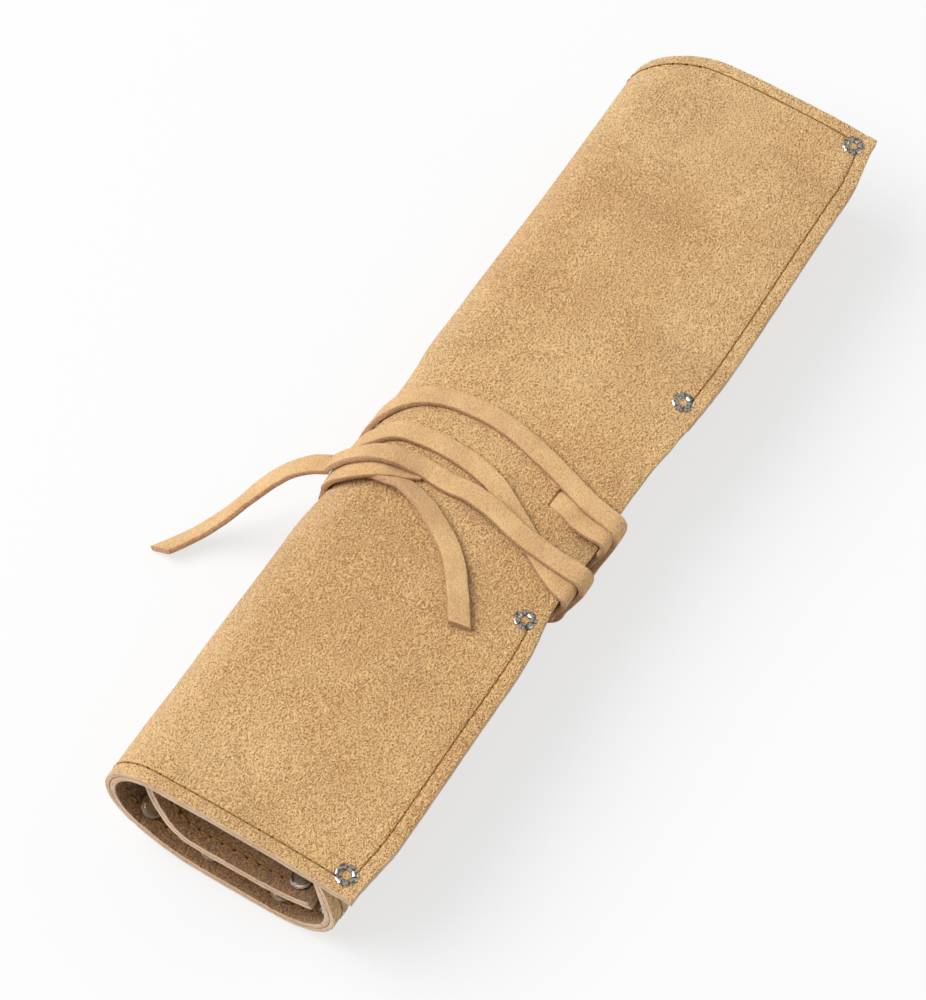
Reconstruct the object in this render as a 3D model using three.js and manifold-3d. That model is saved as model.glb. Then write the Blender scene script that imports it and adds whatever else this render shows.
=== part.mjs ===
// Rolled suede pencil case: one leather sheet with a pocket panel riveted and stitched across each end,
// rolled up flat and tied round the middle with a leather lace.
// Millimetres, +Z up. X runs along the roll, +Y points to the closed fold, -Y to the flap's free edge.
// Every sewn or riveted piece is placed in the sheet's own coordinates: x along the roll, s along the
// rolled-up length from the flap's free edge, and depth inwards from the sheet's outer face.
import * as THREE from "three";
import { mergeVertices } from "three/addons/utils/BufferGeometryUtils.js";
import Module from "manifold-3d";

const wasm = await Module();
wasm.setup();

// ---- Driving dimensions ----
const rollLength = 330;
const rollHeight = 45;
const sheetThickness = 1.8;
const pocketThickness = 1.8;
const plyGap = 0.3; // between the sheet and a pocket panel sewn to it
const layerGap = 2.2; // room between two turns of the roll for rivet heads and stitches
const flapOverhang = 7; // how far the flap's free edge stands out past the open side's fold

// The spiral, as arcs that all turn the same way.
const crownRadius = 400; // the top is barely domed
const crownToClosedFold = 23.5; // from the middle of the dome to the start of the closed fold
const slopeRadius = 50; // underside, rising to the closed fold
const slopeTurn = 34;
const cheekRadius = 28; // underside, rising to the open side
const cheekTurn = 35;
const openFoldLevel = 3.6; // degrees of dome left where the second turn starts
const innerTurnRadius = 7.5; // the sheet turning back inside the closed fold
const innerTurnInset = 24.5; // from the middle of the dome to that turn's centre
const innerTurnEnd = 135;
const saddleRadius = 34;
const innerFlat = 18;
const lastRadius = 55;
const lastTurn = 22;

// Pocket panels, measured from the roll's two ends.
const nearPocketDepth = 116;
const farPocketDepth = 132;
const nearDividers = [122, 148, 174, 200, 226, 262];
const farDividers = [122, 148, 174, 226];
const rivetInset = 6.5;
const seamInset = 4.6;

// Fasteners and thread.
const rivetHeadRadius = 3.4;
const rivetHeadHeight = 1.3;
const rivetShankRadius = 1.2;
const rivetFlowerRadius = 3.8;
const rivetFlowerHeight = 0.8;
const holeClearance = 0.3;
const seatClearance = 0.3;
const threadWidth = 0.8;
const threadThickness = 0.4;
const threadClearance = 0.2;
const stitchEndGap = 6; // a divider's seam stops this far from its rivets' middles
const cornerGap = 1.2; // an edge seam starts this far past the end seam
const endStrip = 14; // the strip along each end of the roll that holds its seam and rivets

// The lace and the waist that it pulls in.
const laceWidth = 7;
const laceThickness = 2.1;
const laceClearance = 0.4;
const waistDepth = 2.8; // how far the tie pulls the roll in at the top and underneath
const waistSideShare = 0.25; // the sides give less than the top
const waistFrom = -45;
const waistTo = 6;
const waistRamp = 18;
const slitClearance = 0.8;

const leatherColour = 0xc79a62;
const pocketColour = 0xb98a55;
const laceColour = 0xc99f6a;
const threadColour = 0x8a6420;
const nickelColour = 0xb9b6b0;

const material = (color, roughness, metalness) =>
  new THREE.MeshStandardMaterial({ color, roughness, metalness });
const radians = (degrees) => (degrees * Math.PI) / 180;

// ---- The rolled-up line of the sheet's outer face ----
// Headings are measured from +Y and fall as the line turns inwards.
const arcPoint = (centre, radius, heading) => [
  centre[0] - radius * Math.sin(radians(heading)),
  centre[1] + radius * Math.cos(radians(heading)),
];
const halfLength = rollLength / 2;
const stack = sheetThickness + plyGap + pocketThickness;
const turnPitch = stack + layerGap;

function rolledLine() {
  const crownCentre = [0, rollHeight - crownRadius];
  const foldStart = -THREE.MathUtils.radToDeg(Math.asin(crownToClosedFold / crownRadius));
  const slopeDrop = slopeRadius * (1 - Math.cos(radians(slopeTurn)));
  const foldTop = arcPoint(crownCentre, crownRadius, foldStart);
  const closedRadius =
    (foldTop[1] - slopeDrop) / (Math.cos(radians(foldStart)) + Math.cos(radians(slopeTurn)));
  const innerCrown = crownRadius - turnPitch;
  const join = arcPoint(crownCentre, innerCrown, openFoldLevel);
  const cheekRise = cheekRadius * (1 - Math.cos(radians(cheekTurn)));
  const openRadius =
    (join[1] - cheekRise) / (Math.cos(radians(cheekTurn)) + Math.cos(radians(openFoldLevel)));
  const openCentreY = join[0] + openRadius * Math.sin(radians(openFoldLevel));
  const edgeY = openCentreY - openRadius - flapOverhang;
  const edgeHeading = THREE.MathUtils.radToDeg(Math.asin(-edgeY / crownRadius));
  const innerStart = -THREE.MathUtils.radToDeg(Math.asin(innerTurnInset / innerCrown));
  const slopeEndY =
    foldTop[0] +
    closedRadius * (Math.sin(radians(foldStart)) + Math.sin(radians(slopeTurn))) -
    slopeRadius * Math.sin(radians(slopeTurn));
  const cheekStartY = openCentreY + (cheekRadius - openRadius) * Math.sin(radians(cheekTurn));
  const start = arcPoint(crownCentre, crownRadius, edgeHeading);
  return {
    start,
    edgeHeading,
    pieces: [
      { name: "flap", radius: crownRadius, turn: edgeHeading - foldStart },
      { name: "closedFold", radius: closedRadius, turn: 180 - slopeTurn + foldStart },
      { name: "slope", radius: slopeRadius, turn: slopeTurn },
      { name: "base", length: slopeEndY - cheekStartY },
      { name: "cheek", radius: cheekRadius, turn: cheekTurn },
      { name: "openFold", radius: openRadius, turn: 180 - cheekTurn - openFoldLevel },
      { name: "secondTurn", radius: innerCrown, turn: openFoldLevel - innerStart },
      { name: "innerTurn", radius: innerTurnRadius, turn: innerTurnEnd + innerStart },
      { name: "saddle", radius: saddleRadius, turn: 180 - innerTurnEnd },
      { name: "innerFlat", length: innerFlat },
      { name: "last", radius: lastRadius, turn: lastTurn },
    ],
  };
}

// Walk the pieces once, and keep where each begins.
const line = rolledLine();
const pieces = [];
{
  let point = line.start;
  let heading = line.edgeHeading;
  let s = 0;
  for (const piece of line.pieces) {
    const turn = piece.turn ?? 0;
    const length = piece.length ?? piece.radius * radians(turn);
    pieces.push({ ...piece, turn, length, s, point, heading });
    if (turn) {
      const centre = arcPoint(point, -piece.radius, heading);
      point = arcPoint(centre, piece.radius, heading - turn);
    } else {
      const direction = radians(heading);
      point = [point[0] + length * Math.cos(direction), point[1] + length * Math.sin(direction)];
    }
    heading -= turn;
    s += length;
  }
}
const sheetLength = pieces.at(-1).s + pieces.at(-1).length;
const pieceNamed = (name) => pieces.find((piece) => piece.name === name);

// A point `depth` inside the outer face at s, with the heading there.
function onLine(s, depth) {
  const piece = pieces.findLast((each) => each.s <= s) ?? pieces[0];
  const along = s - piece.s;
  const turned = piece.turn ? along / piece.radius : 0;
  const heading = radians(piece.heading) - turned;
  let y = piece.point[0];
  let z = piece.point[1];
  if (piece.turn) {
    const before = radians(piece.heading);
    y += piece.radius * (Math.sin(before) - Math.sin(heading));
    z += piece.radius * (Math.cos(heading) - Math.cos(before));
  } else {
    y += along * Math.cos(heading);
    z += along * Math.sin(heading);
  }
  return [y + depth * Math.sin(heading), z - depth * Math.cos(heading), heading];
}

// Centre the roll on Y between the flap's free edge and the closed fold.
const closedFold = pieceNamed("closedFold");
const closedSide = onLine(closedFold.s + closedFold.radius * radians(90 + closedFold.heading), 0)[0];
const middleY = (closedSide + onLine(0, 0)[0]) / 2;

// The roll stands on the flowers of the rivets in its base.
const flowerSeat = 2 * threadClearance + threadThickness;
const baseRivetTilt = 0.08; // those rivets sit where the base starts to curve up
const standingHeight = flowerSeat + rivetFlowerHeight + baseRivetTilt;

// The tie draws the whole section in towards its middle.
function waist(x) {
  const before = (x - (waistFrom - waistRamp)) / waistRamp;
  const after = (waistTo + waistRamp - x) / waistRamp;
  return THREE.MathUtils.smoothstep(Math.min(before, after), 0, 1);
}
function drawnIn(x, y, z) {
  const pull = waist(x) * waistDepth * (2 / rollHeight);
  const middle = rollHeight / 2;
  return new THREE.Vector3(
    x,
    (y - middleY) * (1 - pull * waistSideShare),
    standingHeight + middle + (z - middle) * (1 - pull),
  );
}
function onSheet(x, s, depth) {
  const [y, z] = onLine(s, depth);
  return drawnIn(x, y, z);
}

// ---- Solids ----
function solidFrom(geometry) {
  const bare = geometry.clone();
  bare.deleteAttribute("normal");
  bare.deleteAttribute("uv");
  const merged = mergeVertices(bare, 1e-4);
  return new wasm.Manifold(
    new wasm.Mesh({
      numProp: 3,
      vertProperties: merged.attributes.position.array,
      triVerts: new Uint32Array(merged.index.array),
    }),
  );
}
function geometryFrom(solid) {
  const mesh = solid.getMesh();
  const geometry = new THREE.BufferGeometry();
  geometry.setAttribute("position", new THREE.BufferAttribute(mesh.vertProperties, 3));
  geometry.setIndex(new THREE.BufferAttribute(mesh.triVerts, 1));
  geometry.computeVertexNormals();
  return geometry;
}

// Stations along s: every 12 degrees of a turn, or every 18 mm of a nearly straight stretch.
function stationsAlong(from, to) {
  const stations = [from];
  for (const piece of pieces) {
    const steps = Math.max(Math.ceil(piece.turn / 12), Math.ceil(piece.length / 18));
    for (let i = 0; i < steps; i += 1) {
      const s = piece.s + (piece.length * i) / steps;
      if (s > from + 0.5 && s < to - 0.5) stations.push(s);
    }
  }
  stations.push(to);
  return stations;
}
// Stations along x: the waist needs them, and the base gets a flat facet clear of the end strips.
function stationsAcross(from, to) {
  const shares = [0, 0.3, 0.7, 1];
  const marks = [
    endStrip - halfLength,
    ...shares.map((share) => waistFrom - waistRamp * (1 - share)),
    ...shares.map((share) => waistTo + waistRamp * share),
    halfLength - endStrip,
  ];
  return [from, ...marks.filter((x) => x > from + 0.5 && x < to - 0.5), to];
}

// A block of sheet: its box is cut at the stations and rolled up with the sheet.
function sheetBlock(xs, ss, depthFrom, depthTo) {
  const geometry = new THREE.BoxGeometry(1, 1, 1, xs.length - 1, ss.length - 1, 1);
  const position = geometry.attributes.position;
  for (let i = 0; i < position.count; i += 1) {
    const x = xs[Math.round((position.getX(i) + 0.5) * (xs.length - 1))];
    const s = ss[Math.round((position.getY(i) + 0.5) * (ss.length - 1))];
    const point = onSheet(x, s, position.getZ(i) < 0 ? depthTo : depthFrom);
    position.setXYZ(i, point.x, point.y, point.z);
  }
  return geometry;
}

// ---- Rivets ----

// The sheet's frame at (x, s): columns along the roll, along s, and outwards.
function rivetFrame(x, s) {
  const step = 0.5;
  const across = onSheet(x + step, s, 0).sub(onSheet(x - step, s, 0)).normalize();
  const sAfter = Math.min(s + step, sheetLength);
  const along = onSheet(x, sAfter, 0).sub(onSheet(x, s - step, 0)).normalize();
  const out = new THREE.Vector3().crossVectors(across, along).normalize();
  const side = new THREE.Vector3().crossVectors(along, out);
  return new THREE.Matrix4().makeBasis(side, along, out).setPosition(onSheet(x, s, 0));
}
// How far a disc's rim must stand off the inside of the curved sheet.
function curveRelief(s, radius) {
  const piece = pieces.findLast((each) => each.s <= s);
  return piece.turn ? radius ** 2 / (2 * (piece.radius - stack)) : 0;
}
// Head inside the roll, shank through both plies, prongs spread into a flower outside.
function rivetGeometry(s) {
  const headSeat = -stack - seatClearance - curveRelief(s, rivetHeadRadius);
  const profile = [
    [0, headSeat - rivetHeadHeight],
    [rivetHeadRadius * 0.6, headSeat - rivetHeadHeight * 0.8],
    [rivetHeadRadius, headSeat - rivetHeadHeight * 0.25],
    [rivetHeadRadius, headSeat],
    [rivetShankRadius, headSeat],
    [rivetShankRadius, flowerSeat],
    [rivetFlowerRadius, flowerSeat],
    [rivetFlowerRadius * 0.75, flowerSeat + rivetFlowerHeight],
    [rivetShankRadius, flowerSeat + rivetFlowerHeight * 0.4],
    [0, flowerSeat + rivetFlowerHeight * 0.3],
  ];
  const points = profile.map(([radius, height]) => new THREE.Vector2(radius, height));
  return new THREE.LatheGeometry(points, 10).rotateX(Math.PI / 2);
}
const nickel = material(nickelColour, 0.3, 1);
function rivet(name, x, s) {
  const mesh = new THREE.Mesh(rivetGeometry(s).applyMatrix4(rivetFrame(x, s)), nickel);
  mesh.name = name;
  return mesh;
}
// The hole stops in the gap on either side, short of the next turn of the roll.
function rivetHole(x, s) {
  const radius = rivetShankRadius + holeClearance;
  const bore = new THREE.CylinderGeometry(radius, radius, stack + layerGap, 10);
  bore.rotateX(Math.PI / 2).translate(0, 0, -stack / 2);
  return bore.applyMatrix4(rivetFrame(x, s));
}

// ---- The two pocket panels: where each begins, ends and is divided ----
const pocketSets = [
  {
    end: "near",
    endX: -halfLength,
    mouthX: -halfLength + nearPocketDepth,
    dividers: nearDividers,
  },
  { end: "far", endX: halfLength, mouthX: halfLength - farPocketDepth, dividers: farDividers },
];
const edgeLines = { flap: rivetInset, inner: sheetLength - rivetInset };
function rivetSpots(set) {
  const inwards = Math.sign(set.mouthX - set.endX);
  const places = { end: set.endX + inwards * rivetInset, mouth: set.mouthX - inwards * rivetInset };
  const rows = [
    ["flap_edge", edgeLines.flap],
    ["inner_edge", edgeLines.inner],
    ...set.dividers.map((s, i) => ["divider_" + (i + 1), s]),
  ];
  return rows.flatMap(([row, s]) =>
    Object.entries(places).map(([place, x]) => ({
      name: `rivet_${set.end}_${row}_${place}`,
      x,
      s,
    })),
  );
}
const allRivets = pocketSets.flatMap(rivetSpots);

// ---- The lace ----
// Outside of the tied roll as one closed loop: w is s as far as the open fold's outermost point,
// then a straight stretch up to the flap's cut edge, then a small turn over that edge.
const openFold = pieceNamed("openFold");
const leaveS = openFold.s + openFold.radius * radians(90 - cheekTurn);
const edgeTurn = 2.2; // lace spent turning over the edge, past the edge's own thickness
const edgeRound = sheetThickness + edgeTurn;
const [leaveY, leaveZ] = onLine(leaveS, 0);
const [edgeY, edgeZ, edgeHeading] = onLine(0, 0);
const turnStart = new THREE.Vector2(edgeY, edgeZ - sheetThickness);
const bridgeLength = Math.hypot(turnStart.x - leaveY, turnStart.y - leaveZ);
const loopLength = leaveS + bridgeLength + edgeRound;

// Point and outward heading on that loop.
function onLoop(w) {
  const around = ((w % loopLength) + loopLength) % loopLength;
  if (around <= leaveS) {
    const [y, z, heading] = onLine(around, 0);
    return { y, z, outward: heading + Math.PI / 2 };
  }
  const lean = Math.atan2(turnStart.y - leaveZ, turnStart.x - leaveY) + Math.PI / 2;
  const bridged = Math.min((around - leaveS) / bridgeLength, 1);
  const past = Math.max(around - leaveS - bridgeLength, 0);
  const climbed = Math.min(past / sheetThickness, 1);
  const rounded = Math.max(past - sheetThickness, 0) / edgeTurn;
  const upright = THREE.MathUtils.lerp(lean, Math.PI, climbed);
  return {
    y: THREE.MathUtils.lerp(leaveY, turnStart.x, bridged),
    z: THREE.MathUtils.lerp(leaveZ, turnStart.y, bridged) + climbed * sheetThickness,
    outward: THREE.MathUtils.lerp(upright, edgeHeading + Math.PI / 2, rounded),
  };
}
// How far the lace's middle stands off the leather on its first or second layer.
const laceLift = (layer) =>
  laceClearance + laceThickness / 2 + layer * (laceThickness + laceClearance);
function onTie(x, w, layer) {
  const { y, z, outward } = onLoop(w);
  const lift = laceLift(layer);
  return drawnIn(x, y + lift * Math.cos(outward), z + lift * Math.sin(outward));
}

// A strap of the lace's section along world points, with the given outward directions.
function strap(points, outs, width, thickness) {
  const steps = points.length - 1;
  const geometry = new THREE.BoxGeometry(1, 1, 1, 1, steps, 1);
  const position = geometry.attributes.position;
  for (let i = 0; i < position.count; i += 1) {
    const k = Math.round((position.getY(i) + 0.5) * steps);
    const ahead = points[Math.min(k + 1, steps)];
    const behind = points[Math.max(k - 1, 0)];
    const along = new THREE.Vector3().subVectors(ahead, behind).normalize();
    const side = new THREE.Vector3().crossVectors(along, outs[k]).normalize();
    const out = new THREE.Vector3().crossVectors(side, along);
    const corner = points[k]
      .clone()
      .addScaledVector(side, position.getX(i) * width)
      .addScaledVector(out, position.getZ(i) * thickness);
    position.setXYZ(i, corner.x, corner.y, corner.z);
  }
  return geometry;
}
// A route is a short list of [x, w, layer]; w counts on past a full turn of the roll.
// A station is kept where the lace has bent enough or run far enough since the last one.
const laceBend = radians(10);
const laceReach = 7;
const lacePrecision = 0.3;
function wrap(route) {
  const curve = new THREE.CatmullRomCurve3(
    route.map(([x, w, layer]) => new THREE.Vector3(x, w, layer)),
    false,
    "centripetal",
  );
  const fine = curve.getSpacedPoints(Math.round(curve.getLength() / lacePrecision));
  const points = [];
  const outs = [];
  fine.forEach((p, i) => {
    const point = onTie(p.x, p.y, p.z);
    const next = fine[Math.min(i + 1, fine.length - 1)];
    const out = onTie(p.x, p.y, p.z + 1).sub(point).normalize();
    const nextOut = onTie(next.x, next.y, next.z + 1).sub(onTie(next.x, next.y, next.z)).normalize();
    const isEnd = i === 0 || i === fine.length - 1;
    const bent = outs.length && nextOut.angleTo(outs.at(-1)) > laceBend;
    const reached = points.length && point.distanceTo(points.at(-1)) > laceReach;
    const lifting = Math.abs(next.z - p.z) > 0.015 && points.length && i % 6 === 0;
    if (isEnd || bent || reached || lifting) {
      points.push(point);
      outs.push(out);
    }
  });
  return strap(points, outs, laceWidth, laceThickness);
}

const turn = loopLength;
const farWrapRoute = [
  [-12.5, 36, -2],
  [-13.5, 28, -2],
  [-14, 25, -1.2],
  [-14.3, 21, 0],
  [-17.5, 11, 0],
  [-20, 1, 0],
  [-18.5, -25, 0],
  [-15.5, 172 - turn, 0],
  [-15, 150 - turn, 0],
  [-16.5, 122 - turn, 0],
  [-18, 104 - turn, 0],
  [-9.5, 90 - turn, 0],
  [-3.5, 81 - turn, 0],
  [1, 70 - turn, 0],
  [2.2, 58 - turn, 0],
  [1.5, 47 - turn, 0],
  [-1.5, 34 - turn, 0],
  [-5, 22 - turn, 0],
  [-8.5, 11 - turn, 0],
  [-11, 1 - turn, 0.6],
  [-14, -12 - turn, 1],
  [-20, -38 - turn, 1],
  [-23.5, 176 - 2 * turn, 0],
  [-24, 160 - 2 * turn, 0],
  [-24.5, 151 - 2 * turn, 0.2],
  [-26.5, 143 - 2 * turn, 1.2],
  [-34, 119 - 2 * turn, 1.2],
  [-38, 109 - 2 * turn, 1],
  [-39, 101 - 2 * turn, 0],
  [-39.5, 93 - 2 * turn, 0],
];
const nearWrapRoute = [
  [-27.6, 71, 0],
  [-26, 63, 0],
  [-26.6, 52, 0],
  [-26.6, 45, 0.5],
  [-28.5, 34, 1],
  [-31, 25, 1],
  [-32.7, 14.5, 1],
  [-33.5, 3, 1],
  [-33, -24, 1],
  [-32.5, -42, 0.5],
  [-33, 165 - turn, 0],
  [-32.5, 138 - turn, 0],
  [-28, 101 - turn, 0],
  [-22.5, 87 - turn, 0],
  [-17, 77 - turn, 0],
  [-15.6, 66 - turn, 0],
  [-15.6, 57 - turn, 0],
  [-16.8, 48 - turn, 0],
  [-19.5, 39 - turn, 0],
  [-24.5, 30 - turn, 0],
  [-32, 17 - turn, 0],
  [-38, 6 - turn, 0],
  [-40, -2 - turn, 0],
  [-37, -22 - turn, 0],
  [-33, -40 - turn, 0],
];

// The knot: a rounded lump on the closed fold, in the same [x, w] coordinates as the wraps.
const knot = { x: -35.5, w: 81.5, halfX: 6.5, halfW: 9.5, height: 5.2 };
function knotGeometry() {
  const geometry = new THREE.SphereGeometry(1, 16, 10);
  const position = geometry.attributes.position;
  const squared = (value) => Math.sign(value) * Math.abs(value) ** 0.7;
  for (let i = 0; i < position.count; i += 1) {
    const across = squared(position.getX(i)) * knot.halfX;
    const along = squared(position.getZ(i)) * knot.halfW;
    const lift = laceClearance + (knot.height * (1 + squared(position.getY(i)))) / 2;
    const { y, z, outward } = onLoop(knot.w - along);
    const point = drawnIn(
      knot.x + across,
      y + lift * Math.cos(outward),
      z + lift * Math.sin(outward),
    );
    position.setXYZ(i, point.x, point.y, point.z);
  }
  return geometry;
}

// The two free tails. One hangs off the closed fold to the ground, the other lies on the flap.
// The left tail's points are [x, y] from its root at the knot, and a share of the root's height.
const leftTailRoot = { x: -37.6, w: 89.5, lift: 6 };
const leftTailRoute = [
  [0, 0, 1],
  [-2, 5.1, 0.962],
  [-4.9, 11.2, 0.857],
  [-8.4, 16.2, 0.728],
  [-12.9, 20.7, 0.587],
  [-16.9, 24.7, 0.434],
  [-20.9, 28.7, 0.293],
  [-25.9, 33.2, 0.164],
  [-31.9, 37.7, 0.085],
  [-38.4, 42.5, 0.045],
];
const topTailRoute = [
  [-35.3, 71.2, 2.6],
  [-34.8, 66, 2.2],
  [-37, 57, 1.8],
  [-41.8, 47.5, 1.7],
  [-47.5, 39, 1.7],
  [-53.5, 33.3, 1.7],
  [-61, 28, 1.7],
  [-70, 21.8, 1.7],
];
const tailStep = 5;
function offSheet(x, s, lift) {
  const [y, z] = onLine(s, -lift);
  return drawnIn(x, y, z);
}
function leftTail() {
  const base = offSheet(leftTailRoot.x, leftTailRoot.w, leftTailRoot.lift);
  const curve = new THREE.CatmullRomCurve3(
    leftTailRoute.map(([x, y, share]) => new THREE.Vector3(base.x + x, base.y + y, base.z * share)),
  );
  const points = curve.getSpacedPoints(Math.round(curve.getLength() / tailStep));
  // It leaves the knot flat and turns onto its edge before it reaches the ground.
  const outs = points.map((point, i) => {
    const twist = THREE.MathUtils.smoothstep(i / (points.length - 1), 0.1, 0.5) * 0.9;
    return new THREE.Vector3(Math.sin(twist) * -0.8, 0.35, 1 - 0.5 * twist).normalize();
  });
  return strap(points, outs, laceWidth, laceThickness);
}
function topTail() {
  const curve = new THREE.CatmullRomCurve3(topTailRoute.map((p) => new THREE.Vector3(...p)));
  const flat = curve.getSpacedPoints(Math.round(curve.getLength() / tailStep));
  const points = flat.map((p) => offSheet(p.x, p.y, p.z));
  const outs = flat.map((p) => offSheet(p.x, p.y, p.z + 1).sub(offSheet(p.x, p.y, p.z)).normalize());
  return strap(points, outs, laceWidth, laceThickness);
}

const root = new THREE.Group();
function add(name, geometry, look) {
  const mesh = new THREE.Mesh(geometry, look);
  mesh.name = name;
  root.add(mesh);
}
// ---- Assembly ----
const leather = material(leatherColour, 0.95, 0);
const pocketLeather = material(pocketColour, 0.95, 0);
const thread = material(threadColour, 0.7, 0);
const laceLeather = material(laceColour, 0.95, 0);

function cutHoles(geometry, cutters) {
  const cut = cutters.reduce((solid, cutter) => solid.subtract(solidFrom(cutter)), solidFrom(geometry));
  return geometryFrom(cut);
}
const acrossAll = stationsAcross(-halfLength, halfLength);
const alongAll = stationsAlong(0, sheetLength);
// The slit that the lace comes up through.
const slit = { x: -14, s: 24.4 };
const slitLength = sheetThickness + 2 * (laceThickness + slitClearance);
const slitHalf = laceWidth / 2 + slitClearance;
const slitCutter = sheetBlock(
  [slit.x - slitHalf, slit.x + slitHalf],
  [slit.s - slitLength / 2, slit.s + slitLength / 2],
  -sheetThickness,
  2 * sheetThickness,
);
add(
  "outer_sheet",
  cutHoles(sheetBlock(acrossAll, alongAll, 0, sheetThickness), [
    ...allRivets.map(({ x, s }) => rivetHole(x, s)),
    slitCutter,
  ]),
  leather,
);
for (const set of pocketSets) {
  const xs = stationsAcross(Math.min(set.endX, set.mouthX), Math.max(set.endX, set.mouthX));
  const panel = sheetBlock(xs, alongAll, sheetThickness + plyGap, stack);
  add(
    "pocket_panel_" + set.end,
    cutHoles(
      panel,
      rivetSpots(set).map(({ x, s }) => rivetHole(x, s)),
    ),
    pocketLeather,
  );
  for (const { name, x, s } of rivetSpots(set)) root.add(rivet(name, x, s));
}

// Seams, as the thread's run along the outer face.
function seam(name, xs, ss) {
  add(name, sheetBlock(xs, ss, -threadClearance - threadThickness, -threadClearance), thread);
}
const halfThread = threadWidth / 2;
for (const set of pocketSets) {
  const inwards = Math.sign(set.mouthX - set.endX);
  const endLine = set.endX + inwards * seamInset;
  const endStations = stationsAlong(seamInset - halfThread, sheetLength - seamInset + halfThread);
  seam("seam_" + set.end + "_end", [endLine - halfThread, endLine + halfThread], endStations);
  const between = (fromInset, toInset) => {
    const reach = [set.endX + inwards * fromInset, set.mouthX - inwards * toInset];
    return stationsAcross(Math.min(...reach), Math.max(...reach));
  };
  const edgeReach = between(seamInset + halfThread + cornerGap, seamInset);
  const edges = { flap: seamInset, inner: sheetLength - seamInset };
  for (const [edge, s] of Object.entries(edges)) {
    seam(`seam_${set.end}_${edge}_edge`, edgeReach, [s - halfThread, s + halfThread]);
  }
  const dividerReach = between(rivetInset + stitchEndGap, rivetInset + stitchEndGap);
  set.dividers.forEach((s, i) => {
    seam(`seam_${set.end}_divider_${i + 1}`, dividerReach, [s - halfThread, s + halfThread]);
  });
}

// The lace: both halves go round and meet at the knot on the closed fold.
add("tie_wrap_far", wrap(farWrapRoute), laceLeather);
add("tie_wrap_near", wrap(nearWrapRoute), laceLeather);
add("tie_knot", knotGeometry(), laceLeather);
add("tie_tail_left", leftTail(), laceLeather);
add("tie_tail_top", topTail(), laceLeather);

export default root;
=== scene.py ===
"""Looks of the rolled suede pencil case: leather, pocket panels, stitches, split rivets and the lace."""

import math

import bpy
import numpy as np
from bpy.props import FloatProperty, FloatVectorProperty, IntProperty, PointerProperty
from mathutils import Matrix, Vector, noise
from mathutils.kdtree import KDTree


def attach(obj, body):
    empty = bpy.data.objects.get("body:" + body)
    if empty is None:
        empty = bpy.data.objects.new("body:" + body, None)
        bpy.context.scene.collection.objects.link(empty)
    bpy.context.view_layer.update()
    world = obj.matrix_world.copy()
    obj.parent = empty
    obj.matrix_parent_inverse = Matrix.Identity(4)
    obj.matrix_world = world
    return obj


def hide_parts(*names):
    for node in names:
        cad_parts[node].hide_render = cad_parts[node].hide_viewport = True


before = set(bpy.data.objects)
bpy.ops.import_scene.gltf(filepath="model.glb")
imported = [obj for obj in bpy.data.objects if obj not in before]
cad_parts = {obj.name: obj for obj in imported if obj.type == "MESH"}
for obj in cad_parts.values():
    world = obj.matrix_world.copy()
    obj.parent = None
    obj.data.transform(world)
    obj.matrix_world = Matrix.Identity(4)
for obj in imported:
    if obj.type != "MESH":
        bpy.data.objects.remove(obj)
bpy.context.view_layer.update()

bl_info = {
    "name": "Rolled suede pencil case",
    "version": (1, 0, 0),
    "blender": (4, 5, 0),
    "location": "View3D > Sidebar > Pencil roll",
    "description": "Makes the leather, stitching, rivets and lace of a tied pencil roll",
    "category": "Object",
}

# ---- How the sheet is rolled, in metres and degrees ----
CROWN_RADIUS = 0.400
CROWN_TO_CLOSED_FOLD = 0.0235
SLOPE_RADIUS, SLOPE_TURN = 0.050, 34
CHEEK_RADIUS, CHEEK_TURN = 0.028, 35
OPEN_FOLD_LEVEL = 3.6
INNER_TURN_RADIUS, INNER_TURN_END = 0.0075, 135
INNER_TURN_INSET = 0.0245
SADDLE_RADIUS = 0.034
INNER_FLAT = 0.018
LAST_RADIUS, LAST_TURN = 0.055, 22
FLAP_OVERHANG = 0.007
LAYER_GAP = 0.0022
PLY_GAP = 0.0003

# The tie draws the middle of the roll in.
WAIST_DEPTH = 0.0028
WAIST_SIDE_SHARE = 0.25
WAIST_FROM, WAIST_TO, WAIST_RAMP = -0.045, 0.006, 0.018
STANDING_HEIGHT = 0.00168  # the roll stands on the rivet flowers in its base

# Pockets, seams and rivets, in the sheet's own coordinates: x along the roll, s along its rolled-up length.
NEAR_POCKET, FAR_POCKET = 0.116, 0.132
NEAR_DIVIDERS = (0.122, 0.148, 0.174, 0.200, 0.226, 0.262)
FAR_DIVIDERS = (0.122, 0.148, 0.174, 0.226)
RIVET_INSET = 0.0065
SEAM_INSET = 0.0046
STITCH_END_GAP = 0.006
CORNER_GAP = 0.0016

# The flap's free edge wanders: (x, how far the edge lies short of its nominal line).
EDGE_WAVE = (
    (-0.165, 0.0002),
    (-0.140, -0.0022),
    (-0.074, -0.0019),
    (-0.045, 0.0002),
    (0.005, 0.0),
    (0.060, -0.0028),
    (0.140, -0.0014),
    (0.165, 0.0018),
)
EDGE_WAVE_REACH = 0.045
SLIT_X, SLIT_S = -0.0123, 0.0195
SLIT_SIDE_ROOM, SLIT_BEFORE, SLIT_AFTER = 0.0002, 0.0016, 0.0020
# The tie presses a dent into the flap beside its edge and leaves soft hollows on both its sides:
# x, s, reach along x and s, depth.
DENTS = (
    (-0.0185, 0.001, 0.0075, 0.011, 0.0042),
    (-0.0580, 0.047, 0.0170, 0.009, 0.0011),
    (-0.0520, 0.018, 0.0100, 0.010, 0.0007),
    (0.0240, 0.040, 0.0120, 0.016, 0.0009),
)
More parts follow.
